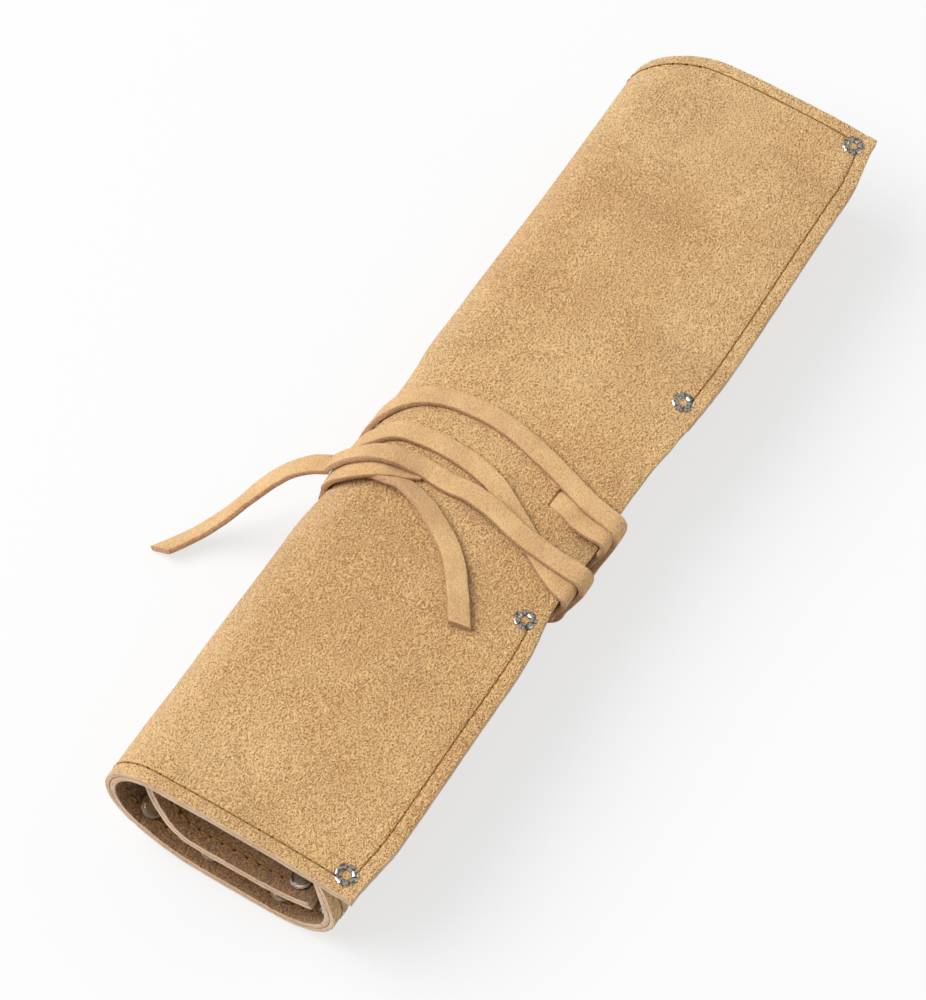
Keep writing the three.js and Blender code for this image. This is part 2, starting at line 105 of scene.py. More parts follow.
# Turns that have slid inwards at an end: by how much, from s, to s, and the ramps up and down.
SLIDES = (
    (0.0070, 0.212, 0.322, 0.030, 0.034),
    (-0.0095, 0.060, 0.140, 0.034, 0.040),
)
SLIDE_FROM, SLIDE_RAMP = 0.07, 0.06
# Unevenness of the leather: height, scale along x and s, and seed.
SLACK = ((0.0006, 17, 21, 3.1), (0.00022, 55, 60, 7.7))
SLACK_TIED = 0.6  # share of it that the tie takes out
PUFF, PUFF_REACH = 0.0008, 0.006  # between the lace's strands
RIVET_PINCH, RIVET_PINCH_REACH = 0.00042, 0.0042
SEAM_PINCH, SEAM_PINCH_REACH = 0.00028, 0.0008
RIM_FRAY, RIM_SCALE, RIM_PLY_SCALE, RIM_ROUND = 0.00016, 420, 700, 0.00028
FRAME_STEP = 0.0005

# ---- The lace's routes: (x, w, layer) over the outside of the roll ----
# w is s round the outside and counts on past a full turn, which TURN adds.
LACE_CLEARANCE = 0.0004
EDGE_ROUND = 0.0022
FAR_ROUTE = (
    (-0.0115, 0.033, 0, -2),
    (-0.0118, 0.026, 0, -2),
    (-0.0121, 0.0222, 0, -1.7),
    (-0.0124, 0.0195, 0, -1.1),
    (-0.0135, 0.0155, 0, -0.7),
    (-0.0152, 0.0095, 0, -0.9),
    (-0.0160, 0.0045, 0, -0.5),
    (-0.0163, 0.001, 0, 0),
    (-0.0185, -0.025, 0, 0),
    (-0.0155, 0.172, 1, 0),
    (-0.015, 0.150, 1, 0),
    (-0.0165, 0.122, 1, 0),
    (-0.018, 0.104, 1, 0),
    (-0.0095, 0.090, 1, 0),
    (-0.0035, 0.081, 1, 0),
    (0.001, 0.070, 1, 0),
    (0.0022, 0.058, 1, 0),
    (0.0015, 0.047, 1, 0),
    (-0.0015, 0.034, 1, 0),
    (-0.005, 0.022, 1, 0),
    (-0.0085, 0.011, 1, 0),
    (-0.011, 0.001, 1, 0.6),
    (-0.014, -0.012, 1, 1),
    (-0.020, -0.038, 1, 1),
    (-0.0235, 0.176, 2, 0),
    (-0.024, 0.160, 2, 0),
    (-0.0245, 0.151, 2, 0.2),
    (-0.0265, 0.143, 2, 1.2),
    (-0.034, 0.119, 2, 1.2),
    (-0.038, 0.109, 2, 1),
    (-0.039, 0.101, 2, 0),
    (-0.0395, 0.093, 2, 0),
)
NEAR_ROUTE = (
    (-0.0276, 0.071, 0, 0),
    (-0.026, 0.063, 0, 0),
    (-0.0266, 0.052, 0, 0),
    (-0.0266, 0.045, 0, 0.5),
    (-0.0285, 0.034, 0, 1),
    (-0.031, 0.025, 0, 1),
    (-0.0327, 0.0145, 0, 1),
    (-0.0335, 0.003, 0, 1),
    (-0.033, -0.024, 0, 1),
    (-0.0325, -0.042, 0, 0.5),
    (-0.033, 0.165, 1, 0),
    (-0.0325, 0.138, 1, 0),
    (-0.028, 0.101, 1, 0),
    (-0.0225, 0.087, 1, 0),
    (-0.017, 0.077, 1, 0),
    (-0.0156, 0.066, 1, 0),
    (-0.0156, 0.057, 1, 0),
    (-0.0168, 0.048, 1, 0),
    (-0.0195, 0.039, 1, 0),
    (-0.0245, 0.030, 1, 0),
    (-0.032, 0.017, 1, 0),
    (-0.038, 0.006, 1, 0),
    (-0.040, -0.002, 1, 0),
    (-0.037, -0.022, 1, 0),
    (-0.033, -0.040, 1, 0),
)
# The knot's two strands: (x, w, lift of the middle off the leather, twist in degrees).
OVER_STRAND = (
    (-0.0376, 0.0895, 0.0060, 0),
    (-0.0362, 0.0855, 0.0068, -8),
    (-0.0338, 0.0805, 0.0076, -14),
    (-0.0311, 0.0760, 0.0079, -12),
    (-0.0290, 0.0718, 0.0070, -6),
    (-0.0274, 0.0670, 0.0046, 0),
    (-0.0263, 0.0630, 0.0024, 0),
    (-0.0260, 0.0600, 0.0015, 0),
)
UNDER_STRAND = (
    (-0.0394, 0.0960, 0.0015, 0),
    (-0.0402, 0.0905, 0.0026, 4),
    (-0.0398, 0.0855, 0.0042, 10),
    (-0.0382, 0.0805, 0.0052, 14),
    (-0.0358, 0.0762, 0.0056, 12),
    (-0.0333, 0.0728, 0.0050, 6),
    (-0.0314, 0.0700, 0.0034, 0),
    (-0.0298, 0.0672, 0.0022, 0),
    (-0.0282, 0.0648, 0.0014, 0),
    (-0.0272, 0.0630, 0.0010, 0),
)
RETURN_STRAND = (
    (-0.0338, 0.0790, 0.0022, -6),
    (-0.0349, 0.0755, 0.0025, -22),
    (-0.0353, 0.0722, 0.0026, -36),
    (-0.0351, 0.0690, 0.0028, -38),
)
# The free tails. The left one is (dx, dy, share of its root's height) from its root at the knot.
LEFT_ROOT = (-0.0376, 0.0895, 0.006)
LEFT_TAIL = (
    (0, 0, 1),
    (-0.002, 0.0051, 0.962),
    (-0.0049, 0.0112, 0.857),
    (-0.0084, 0.0162, 0.728),
    (-0.0129, 0.0207, 0.587),
    (-0.0169, 0.0247, 0.434),
    (-0.0209, 0.0287, 0.293),
    (-0.0259, 0.0332, 0.178),
    (-0.0319, 0.0377, 0.116),
    (-0.0384, 0.0425, 0.085),
)
TOP_TAIL = (
    (-0.0353, 0.0712, 0.0026),
    (-0.0348, 0.066, 0.0030),
    (-0.037, 0.057, 0.0031),
    (-0.0418, 0.0475, 0.0026),
    (-0.0475, 0.039, 0.0021),
    (-0.0535, 0.0333, 0.0018),
    (-0.061, 0.028, 0.0017),
    (-0.070, 0.0218, 0.0017),
)

# How each tail lies, the slant of its cut end, and its twist near the root and further out.
TAIL_MANNERS = {"left": ("hanging", 0.7, (0, 38)), "top": ("loose", -0.35, (-38, -8))}
TAIL_TURN, TAIL_TURN_FROM, TAIL_TURN_RAMP = 0.9, 0.1, 0.4

# ---- The stage ----
CAMERA_AZIMUTH, CAMERA_ELEVATION, CAMERA_DISTANCE = -58.26, 58.49, 1.2
CAMERA_TARGET = Vector((-0.0164, 0.0081, 0.020))
CAMERA_LENS, SENSOR_WIDTH = 133.5, 36
FLOOR_SIZE = 12
FLOOR_PAINT, FLOOR_WHITE = (0.86, 0.86, 0.87, 1.0), (1.0, 1.0, 1.0, 1.0)
FLOOR_GLOW, FLOOR_GLOW_SHARE = 0.915, 0.77
ROOM_COLOUR, ROOM_STRENGTH = (1.0, 0.99, 0.98, 1.0), 0.49
BACKDROP = (0.955, 0.955, 0.957, 1.0)
LAMP_TARGET = (0, 0, 0.02)
# Each lamp's name, place, size and power.
LAMPS = (
    ("key", (-0.85, 1.95, 2.8), 3.2, 156.0),
    ("fill", (0.9, -1.3, 1.2), 1.6, 4.0),
)


# ---- Sizes and colours that a user would change ----
def length_prop(name, description, default):
    """A length in metres that can't be negative."""
    return FloatProperty(
        name=name, description=description, default=default, min=0, unit="LENGTH", precision=4
    )


def colour_prop(name, description, default):
    """A linear colour."""
    return FloatVectorProperty(
        name=name, description=description, default=default, subtype="COLOR", size=3, min=0, max=1
    )


class PencilRollSizes(bpy.types.PropertyGroup):
    """Sizes of the roll and what is sewn, riveted and tied to it."""

    roll_length: length_prop("Roll length", "Along the roll", 0.330)
    roll_height: length_prop("Roll height", "Of the rolled section", 0.045)
    sheet_thickness: length_prop("Sheet thickness", "Of the outer suede", 0.0018)
    pocket_thickness: length_prop("Pocket thickness", "Of the pocket panels", 0.0018)
    grid_step: length_prop("Grid step", "Between the leather's grid lines", 0.0026)
    lace_width: length_prop("Lace width", "Across its flat", 0.007)
    lace_thickness: length_prop("Lace thickness", "Through its flat", 0.0021)
    thread_radius: length_prop("Thread radius", "Of the sewing thread", 0.00029)
    stitch_pitch: length_prop("Stitch pitch", "From one hole to the next", 0.0045)
    head_radius: length_prop("Rivet head radius", "Of the dome inside the roll", 0.0032)
    head_height: length_prop("Rivet head height", "Of the dome inside the roll", 0.0012)
    flower_radius: length_prop("Rivet flower radius", "Of the prongs outside", 0.0037)
    prongs: IntProperty(name="Prongs", description="On each split rivet", default=7, min=3, max=12)


class PencilRollColours(bpy.types.PropertyGroup):
    """Colours of the leather, thread and metal."""

    suede: colour_prop("Suede", "Napped outside of the sheet", (0.700, 0.378, 0.136))
    # suede_pale is also painted highlight on the suede's pebbles, and suede_dark painted shade in its pits.
    suede_pale: colour_prop("Pale suede", "Where the nap is brushed up, and as painted highlight on the suede's pebbles", (0.965, 0.650, 0.300))
    suede_dark: colour_prop("Dark suede", "In the mottling and the cut edge's fibres, and as painted shade in the suede's grain pits", (0.330, 0.142, 0.040))
    flesh: colour_prop("Flesh side", "Rough inside of the leather", (0.300, 0.145, 0.060))
    shade: colour_prop("Shade", "Painted shade between the fibres of the flesh side", (0.100, 0.042, 0.018))
    cut_edge: colour_prop("Cut edge", "Of the sheet and the panels", (0.720, 0.490, 0.310))
    edge_pale: colour_prop("Pale edge", "Where the cut edge is worn", (0.820, 0.620, 0.440))
    lace: colour_prop("Lace", "Flat of the lace", (0.720, 0.415, 0.180))
    lace_edge: colour_prop("Lace edge", "Cut side of the lace", (0.420, 0.225, 0.115))
    thread: colour_prop("Thread", "Sewing thread", (0.420, 0.200, 0.045))
    # The needle holes' two colours are painted shade, on a dark disc that lies over each hole.
    hole: colour_prop("Needle hole", "Painted shade deep in the stitches' holes", (0.035, 0.016, 0.007))
    hole_side: colour_prop("Hole side", "Paler painted shade, mixed in by noise", (0.100, 0.045, 0.018))
    nickel: colour_prop("Nickel", "Rivets", (0.620, 0.590, 0.550))
    dome: colour_prop("Dome", "Polished heads of the rivets", (0.860, 0.800, 0.720))
    # Dark reflections painted in patches on the prongs.
    painted_reflection: colour_prop("Painted reflection", "In the rivets' prongs", (0.085, 0.065, 0.050))


def sizes():
    """The sizes in use."""
    return bpy.context.scene.pencil_roll_sizes


def colours():
    """The colours in use."""
    return bpy.context.scene.pencil_roll_colours


# ---- The rolled sheet ----
def arc_point(centre, radius, heading):
    """Point on a circle, where heading is the direction of travel from +Y, falling as it turns inwards."""
    a = math.radians(heading)
    return (centre[0] - radius * math.sin(a), centre[1] + radius * math.cos(a))


class RolledSheet:
    """Where any point of the sheet lies once it is rolled up, drawn in by the tie and worn."""

    def __init__(self, size):
        self.size = size
        self.stack = size.sheet_thickness + PLY_GAP + size.pocket_thickness
        self.half = size.roll_length / 2
        self.pieces = self.walk()
        last = self.pieces[-1]
        self.length = last["s"] + last["length"]
        fold = self.piece("closed_fold")
        closed_side = self.on_line(fold["s"] + fold["radius"] * math.radians(90 + fold["heading"]), 0)[0]
        self.middle_y = (closed_side + self.on_line(0, 0)[0]) / 2
        self.prepare_loop()
        self.rivet_tree = None
        self.lace_tree = None

    def piece(self, name):
        """The named arc or flat of the spiral."""
        return next(each for each in self.pieces if each["name"] == name)

    def walk(self):
        """Solves the spiral's free radii from the roll's height and lists its arcs and flats in order."""
        height = self.size.roll_height
        cos, sin = (lambda a: math.cos(math.radians(a))), (lambda a: math.sin(math.radians(a)))
        crown = (0, height - CROWN_RADIUS)
        fold_start = -math.degrees(math.asin(CROWN_TO_CLOSED_FOLD / CROWN_RADIUS))
        fold_top = arc_point(crown, CROWN_RADIUS, fold_start)
        slope_drop = SLOPE_RADIUS * (1 - cos(SLOPE_TURN))
        closed_radius = (fold_top[1] - slope_drop) / (cos(fold_start) + cos(SLOPE_TURN))
        inner_crown = CROWN_RADIUS - self.stack - LAYER_GAP
        join = arc_point(crown, inner_crown, OPEN_FOLD_LEVEL)
        cheek_rise = CHEEK_RADIUS * (1 - cos(CHEEK_TURN))
        open_radius = (join[1] - cheek_rise) / (cos(CHEEK_TURN) + cos(OPEN_FOLD_LEVEL))
        open_y = join[0] + open_radius * sin(OPEN_FOLD_LEVEL)
        edge_y = open_y - open_radius - FLAP_OVERHANG
        edge_heading = math.degrees(math.asin(-edge_y / CROWN_RADIUS))
        inner_start = -math.degrees(math.asin(INNER_TURN_INSET / inner_crown))
        slope_end = fold_top[0] + closed_radius * (sin(fold_start) + sin(SLOPE_TURN))
        slope_end -= SLOPE_RADIUS * sin(SLOPE_TURN)
        cheek_start = open_y + (CHEEK_RADIUS - open_radius) * sin(CHEEK_TURN)
        runs = (
            ("flap", CROWN_RADIUS, edge_heading - fold_start, 0),
            ("closed_fold", closed_radius, 180 - SLOPE_TURN + fold_start, 0),
            ("slope", SLOPE_RADIUS, SLOPE_TURN, 0),
            ("base", 0, 0, slope_end - cheek_start),
            ("cheek", CHEEK_RADIUS, CHEEK_TURN, 0),
            ("open_fold", open_radius, 180 - CHEEK_TURN - OPEN_FOLD_LEVEL, 0),
            ("second_turn", inner_crown, OPEN_FOLD_LEVEL - inner_start, 0),
            ("inner_turn", INNER_TURN_RADIUS, INNER_TURN_END + inner_start, 0),
            ("saddle", SADDLE_RADIUS, 180 - INNER_TURN_END, 0),
            ("inner_flat", 0, 0, INNER_FLAT),
            ("last", LAST_RADIUS, LAST_TURN, 0),
        )
        point, heading, s = arc_point(crown, CROWN_RADIUS, edge_heading), edge_heading, 0
        pieces = []
        for name, radius, turned, flat in runs:
            length = flat or radius * math.radians(turned)
            piece = {"name": name, "radius": radius, "length": length}
            pieces.append({**piece, "s": s, "point": point, "heading": heading})
            if turned:
                centre = arc_point(point, -radius, heading)
                point = arc_point(centre, radius, heading - turned)
            else:
                a = math.radians(heading)
                point = (point[0] + length * math.cos(a), point[1] + length * math.sin(a))
            heading -= turned
            s += length
        return pieces

    def on_line(self, s, depth):
        """(y, z, heading in radians) of a point depth inside the outer face."""
        piece = self.pieces[0]
        for each in self.pieces:
            if each["s"] <= s:
                piece = each
        along, before = s - piece["s"], math.radians(piece["heading"])
        y, z = piece["point"]
        if piece["radius"]:
            heading = before - along / piece["radius"]
            y += piece["radius"] * (math.sin(before) - math.sin(heading))
            z += piece["radius"] * (math.cos(heading) - math.cos(before))
        else:
            heading = before
            y += along * math.cos(heading)
            z += along * math.sin(heading)
        return y + depth * math.sin(heading), z - depth * math.cos(heading), heading

    def waist(self, x):
        """1 where the tie holds the roll, 0 away from it."""
        before = (x - (WAIST_FROM - WAIST_RAMP)) / WAIST_RAMP
        after = (WAIST_TO + WAIST_RAMP - x) / WAIST_RAMP
        t = min(max(min(before, after), 0), 1)
        return t * t * (3 - 2 * t)

    def drawn_in(self, x, y, z):
        """Draws a point of the section in towards its middle."""
        height = self.size.roll_height
        pull = self.waist(x) * WAIST_DEPTH * 2 / height
        return Vector(
            (
                x,
                (y - self.middle_y) * (1 - pull * WAIST_SIDE_SHARE),
                STANDING_HEIGHT + height / 2 + (z - height / 2) * (1 - pull),
            )
        )

    def on_sheet(self, x, s, depth):
        """A point of the plain rolled sheet."""
        y, z, _ = self.on_line(s, depth)
        return self.drawn_in(x, y, z)

    # The worn sheet: its edge wanders, it lies slack, and rivets and seams pinch it.
    def edge_shift(self, x, s):
        """How far a point near the flap's free edge is moved along s."""
        if s >= EDGE_WAVE_REACH:
            return 0
        marks, shifts = zip(*EDGE_WAVE)
        i = min(max(int(np.searchsorted(marks, x)), 1), len(marks) - 1)
        t = min(max((x - marks[i - 1]) / (marks[i] - marks[i - 1]), 0), 1)
        t = t * t * (3 - 2 * t)
        return (shifts[i - 1] * (1 - t) + shifts[i] * t) * (1 - s / EDGE_WAVE_REACH)

    def slack(self, x, s):
        """Soft unevenness of the leather, calm where the tie holds it."""
        uneven = sum(
            height * noise.noise(Vector((x * x_scale, s * s_scale, seed)))
            for height, x_scale, s_scale, seed in SLACK
        )
        return uneven * (1 - SLACK_TIED * self.waist(x))

    def bulge(self, x, s):
        """The leather puffs up between the lace's strands."""
        if self.lace_tree is None or not self.waist(x):
            return 0
        distance = self.lace_tree.find((x, s, 0))[2]
        return PUFF * self.waist(x) * (1 - math.exp(-((distance / PUFF_REACH) ** 2)))

    def dent(self, x, s):
        """Sink of the outer face where the tie presses the flap in."""
        sink = 0
        for dent_x, dent_s, reach_x, reach_s, depth in DENTS:
            away = ((x - dent_x) / reach_x) ** 2 + ((s - dent_s) / reach_s) ** 2
            sink += depth * math.exp(-away)
        return sink

    def pinch(self, x, s):
        """Each face's sink at rivets and seams."""
        sink = 0
        if self.rivet_tree is not None:
            distance = self.rivet_tree.find((x, s, 0))[2]
            sink += RIVET_PINCH * math.exp(-((distance / RIVET_PINCH_REACH) ** 2))
        seam = min(abs(abs(x) - self.half + SEAM_INSET), self.seam_distance(x, s))
        return sink + SEAM_PINCH * math.exp(-((seam / SEAM_PINCH_REACH) ** 2))

    def seam_distance(self, x, s):
        """Distance from a row of stitches that runs along the roll."""
        near, far = x < -self.half + NEAR_POCKET, x > self.half - FAR_POCKET
        if not (near or far):
            return 1
        rows = (SEAM_INSET, self.length - SEAM_INSET, *(NEAR_DIVIDERS if near else FAR_DIVIDERS))
        return min(abs(s - row) for row in rows)

    def telescoped(self, x, s):
        """How far turns have slid along the roll: inwards at both ends."""
        moved = 0
        for reach, start, stop, up, down in SLIDES:
            held = min(max((abs(x) - SLIDE_FROM) / SLIDE_RAMP, 0), 1) if x * reach < 0 else 0
            rise = min(max((s - start) / up, 0), 1) * min(max((stop - s) / down, 0), 1)
            moved += reach * held * rise * rise * (3 - 2 * rise)
        return moved

    def worn(self, x, s, depth):
        """A point of the sheet as it lies."""
        x += self.telescoped(x, s)
        inwards = self.pinch(x, s) * (1 - 2 * depth / self.stack) - self.slack(x, s) - self.bulge(x, s)
        inwards += self.dent(x, s)
        return self.on_sheet(x, s + self.edge_shift(x, s), depth + inwards)

    def frame_at(self, x, s, depth=0):
        """The sheet's frame at a point: columns along the roll, along s, and outwards."""
        along = (self.worn(x, s + FRAME_STEP, depth) - self.worn(x, s - FRAME_STEP, depth)).normalized()
        across = (self.worn(x + FRAME_STEP, s, depth) - self.worn(x - FRAME_STEP, s, depth)).normalized()
        out = across.cross(along).normalized()
        side = along.cross(out)
        matrix = Matrix((side, along, out)).transposed().to_4x4()
        matrix.translation = self.worn(x, s, depth)
        return matrix

    # The lace's way round the outside: over the sheet, straight up to the flap's edge, and round it.
    def prepare_loop(self):
        """Finds where the lace leaves the open side and how long one turn of it is."""
        fold = self.piece("open_fold")
        self.leave = fold["s"] + fold["radius"] * math.radians(90 - CHEEK_TURN)
        edge_y, edge_z, self.edge_heading = self.on_line(0, 0)
        self.leave_at = self.on_line(self.leave, 0)[:2]
        self.edge_at = (edge_y, edge_z - self.size.sheet_thickness)
        self.bridge = math.dist(self.leave_at, self.edge_at)
        self.turn = self.leave + self.bridge + self.size.sheet_thickness + EDGE_ROUND

    def on_loop(self, w):
        """(y, z, outward heading) at w on the loop."""
        around = w % self.turn
        if around <= self.leave:
            y, z, heading = self.on_line(around, 0)
            return y, z, heading + math.pi / 2
        (y0, z0), (y1, z1) = self.leave_at, self.edge_at
        lean = math.atan2(z1 - z0, y1 - y0) + math.pi / 2
        bridged = min((around - self.leave) / self.bridge, 1)
        past = max(around - self.leave - self.bridge, 0)
        climbed = min(past / self.size.sheet_thickness, 1)
        rounded = max(past - self.size.sheet_thickness, 0) / EDGE_ROUND
        upright = lean + (math.pi - lean) * climbed
        outward = upright + (self.edge_heading + math.pi / 2 - upright) * rounded
        return (
            y0 + (y1 - y0) * bridged,
            z0 + (z1 - z0) * bridged + climbed * self.size.sheet_thickness,
            outward,
        )

    def on_tie(self, x, w, lift):
        """A point lift above the outside of the tied roll."""
        y, z, outward = self.on_loop(w)
        return self.drawn_in(x, y + lift * math.cos(outward), z + lift * math.sin(outward))

    def lace_lift(self, layer):
        """How far the lace's middle stands off the leather on its first or second layer."""
        thickness = self.size.lace_thickness
        return LACE_CLEARANCE + thickness / 2 + layer * (thickness + LACE_CLEARANCE)

    def above_sheet(self, x, s, lift):
        """A point lift above the sheet's outer face."""
        y, z, _ = self.on_line(s, -lift)
        return self.drawn_in(x, y, z)


CURVE_STEPS = 24


def smooth_path(points, step):
    """Evenly spaced points on the centripetal Catmull-Rom curve through the given ones."""
    given = np.array(points, float)
    full = np.vstack([2 * given[0] - given[1], given, 2 * given[-1] - given[-2]])
    dense = []
    for i in range(1, len(full) - 2):
        a, b, c, d = full[i - 1 : i + 3]
        ta, tb, tc = (max(np.linalg.norm(q - p) ** 0.5, 1e-6) for p, q in ((a, b), (b, c), (c, d)))
        start = ((b - a) / ta - (c - a) / (ta + tb) + (c - b) / tb) * tb
        stop = ((c - b) / tb - (d - b) / (tb + tc) + (d - c) / tc) * tb
        for t in np.linspace(0, 1, CURVE_STEPS, endpoint=False):
            square, cube = 3 * (c - b) - 2 * start - stop, 2 * (b - c) + start + stop
            dense.append(b + start * t + square * t**2 + cube * t**3)
    dense = np.array([*dense, given[-1]])
    run = np.concatenate([[0], np.cumsum(np.linalg.norm(np.diff(dense, axis=0), axis=1))])
    marks = np.linspace(0, run[-1], max(round(run[-1] / step), 2) + 1)
    return np.stack([np.interp(marks, run, dense[:, k]) for k in range(given.shape[1])], axis=1)


# ---- Materials ----
class Bench:
    """A material's node tree, with short ways to add nodes and link them."""

    def __init__(self, name):
        self.material = bpy.data.materials.new(name)
        self.material.use_nodes = True
        self.tree = self.material.node_tree
        self.tree.nodes.clear()

    def add(self, kind, inputs=None, **settings):
        """Adds a node, sets its properties, and fills its inputs with values or other nodes' outputs."""
        node = self.tree.nodes.new(kind)
        for key, value in settings.items():
            setattr(node, key, value)
        for key, value in (inputs or {}).items():
            if isinstance(value, bpy.types.NodeSocket):
                self.tree.links.new(value, node.inputs[key])
            else:
                node.inputs[key].default_value = value
        return node

    def place(self):
        """Object coordinates."""
        return self.add("ShaderNodeTexCoord").outputs["Object"]

    def noise(self, scale, detail=2, vector=None, **inputs):
        """A noise texture's 0 to 1 value."""
        fill = {"Vector": vector or self.place(), "Scale": scale, "Detail": detail, **inputs}
        return self.add("ShaderNodeTexNoise", fill).outputs["Fac"]

    def math(self, operation, a, b):
        """One step of arithmetic."""
        return self.add("ShaderNodeMath", {0: a, 1: b}, operation=operation).outputs[0]

    def between(self, value, low, high, to_low=0.0, to_high=1.0):
        """Maps low..high to to_low..to_high, smoothly and clamped."""
        fill = {"Value": value, "From Min": low, "From Max": high, "To Min": to_low, "To Max": to_high}
        return self.add("ShaderNodeMapRange", fill, interpolation_type="SMOOTHSTEP").outputs["Result"]

    def wandered(self, place, scale, reach):
        """A place moved about by coloured noise, which breaks up a pattern's grid."""
        fill = {"Vector": place, "Scale": scale, "Detail": 1.0}
        colour = self.add("ShaderNodeTexNoise", fill).outputs["Color"]
        fill = {0: colour, 1: (reach,) * 3, 2: place}
        return self.add("ShaderNodeVectorMath", fill, operation="MULTIPLY_ADD").outputs[0]

    def mix(self, share, a, b):
        """Mixes two colours, which are sockets 6 and 7 of the node and its output 2."""
        return self.add("ShaderNodeMix", {0: share, 6: a, 7: b}, data_type="RGBA").outputs[2]

    def bump(self, height, distance, normal=None):
        """A bump in metres."""
        fill = {"Height": height, "Distance": distance, "Strength": 1.0}
        if normal is not None:
            fill["Normal"] = normal
        return self.add("ShaderNodeBump", fill).outputs["Normal"]

    def finish(self, colour, normal=None, roughness=0.9, **sockets):
        """Closes the tree with a principled shader."""
        fill = {"Base Color": colour, "Roughness": roughness, **sockets}
        if normal is not None:
            fill["Normal"] = normal
        shader = self.add("ShaderNodeBsdfPrincipled", fill).outputs[0]
        self.add("ShaderNodeOutputMaterial", {"Surface": shader})
        return self.material


def rgba(colour):
    """A colour property as four numbers."""
    return (*colour, 1.0)


SUEDE_SHEEN = {"Sheen Weight": 0.4, "Sheen Roughness": 0.45, "Sheen Tint": (1.0, 0.90, 0.76, 1.0)}
LACE_SHEEN = {"Sheen Weight": 0.3, "Sheen Roughness": 0.6, "Sheen Tint": (0.95, 0.80, 0.62, 1.0)}


def suede_outside():
    """Napped, pebbled suede with broad mottling, painted shade in the grain's pits and painted highlight on
    its pebbles.
    """
    bench = Bench("suede_outside")
    c = colours()
    place = bench.place()
    grain = bench.noise(1750.0, 2.0, bench.wandered(place, 900.0, 0.0004), Roughness=0.55)
    nap = bench.noise(4200.0, 2.0, place)
    broad = bench.noise(13.0, 3.0, place, Roughness=0.55)
    patch = bench.noise(34.0, 3.0, place, Roughness=0.55)
    tone = bench.mix(bench.between(broad, 0.36, 0.64, 0.0, 0.66), rgba(c.suede), rgba(c.suede_pale))
    tone = bench.mix(bench.between(patch, 0.44, 0.72, 0.0, 0.30), tone, rgba(c.suede_dark))
    # The grain's pits are darkened and its pebbles lightened: painted shade and painted highlight over the
    # bump.
    tone = bench.mix(bench.between(grain, 0.50, 0.35, 0.0, 0.78), tone, rgba(c.suede_dark))
    tone = bench.mix(bench.between(grain, 0.48, 0.63, 0.0, 0.80), tone, rgba(c.suede_pale))
    normal = bench.bump(grain, 0.0019)
    normal = bench.bump(nap, 0.00012, normal)
    return bench.finish(tone, normal, 0.95, **SUEDE_SHEEN, **{"Specular IOR Level": 0.12})


def suede_flesh():
    """Rough brown flesh side, as on the inside of the pockets, with painted shade between its fibres."""
    bench = Bench("suede_flesh")
    c = colours()
    place = bench.place()
    clump = bench.noise(1450.0, 3.0, place, Roughness=0.7)
    broad = bench.noise(36.0, 3.0, place)
    tone = bench.mix(bench.between(broad, 0.35, 0.7, 0.0, 0.35), rgba(c.flesh), rgba(c.lace_edge))
    tone = bench.mix(bench.between(clump, 0.46, 0.64, 0.0, 0.9), tone, rgba(Vector(c.suede) * 0.85))
    # Painted shade darkens the pits between the fibres.
    tone = bench.mix(bench.between(clump, 0.50, 0.34, 0.0, 0.75), tone, rgba(c.shade))
    normal = bench.bump(clump, 0.0018)
    return bench.finish(tone, normal, 0.97, **{"Sheen Weight": 0.2, "Specular IOR Level": 0.1})


def cut_edge():
    """Fibrous cut edge of the leather."""
    bench = Bench("cut_edge")
    c = colours()
    place = bench.place()
    fibre = bench.noise(1300.0, 4.0, place, Roughness=0.7)
    broad = bench.noise(120.0, 2.0, place)
    tone = bench.mix(bench.between(fibre, 0.22, 0.55), rgba(c.suede_dark), rgba(c.cut_edge))
    tone = bench.mix(bench.between(broad, 0.4, 0.7, 0.0, 0.5), tone, rgba(c.edge_pale))
    normal = bench.bump(fibre, 0.0010)
    return bench.finish(tone, normal, 0.95, **{"Sheen Weight": 0.2, "Specular IOR Level": 0.12})


def lace_flat():
    """Fine nap on the lace's flats."""
    bench = Bench("lace_flat")
    c = colours()
    place = bench.place()
    nap = bench.noise(1900.0, 3.0, place, Roughness=0.7)
    broad = bench.noise(90.0, 3.0, place)
    tone = bench.mix(bench.between(broad, 0.35, 0.7, 0.0, 0.45), rgba(c.lace), rgba(c.suede_pale))
    tone = bench.mix(bench.between(nap, 0.50, 0.34, 0.0, 0.50), tone, rgba(c.lace_edge))
    tone = bench.mix(bench.between(nap, 0.46, 0.64, 0.0, 0.60), tone, rgba(c.suede_pale))
    normal = bench.bump(nap, 0.0011)
    return bench.finish(tone, normal, 0.95, **LACE_SHEEN, **{"Specular IOR Level": 0.12})


def lace_side():
    """Raw cut sides of the lace."""
    bench = Bench("lace_side")
    c = colours()
    place = bench.place()
    fibre = bench.noise(1500.0, 4.0, place, Roughness=0.7)
    tone = bench.mix(bench.between(fibre, 0.35, 0.8), rgba(c.lace_edge), rgba(c.cut_edge))
    return bench.finish(tone, bench.bump(fibre, 0.0005), 0.95, **{"Specular IOR Level": 0.12})


def thread_finish():
    """Twisted dark gold thread: the twist follows the stitch."""
    bench = Bench("gold_thread")
    c = colours()
    along = bench.add("ShaderNodeUVMap", uv_map="UVMap").outputs["UV"]
    fill = {"Vector": along, "Scale": 1.6, "Distortion": 0.4}
    strand = bench.add("ShaderNodeTexWave", fill, bands_direction="DIAGONAL").outputs["Fac"]
    tone = bench.mix(strand, rgba(Vector(c.thread) * 0.45), rgba(c.thread))
    return bench.finish(tone, bench.bump(strand, 0.00008), 0.6, **{"Specular IOR Level": 0.3})


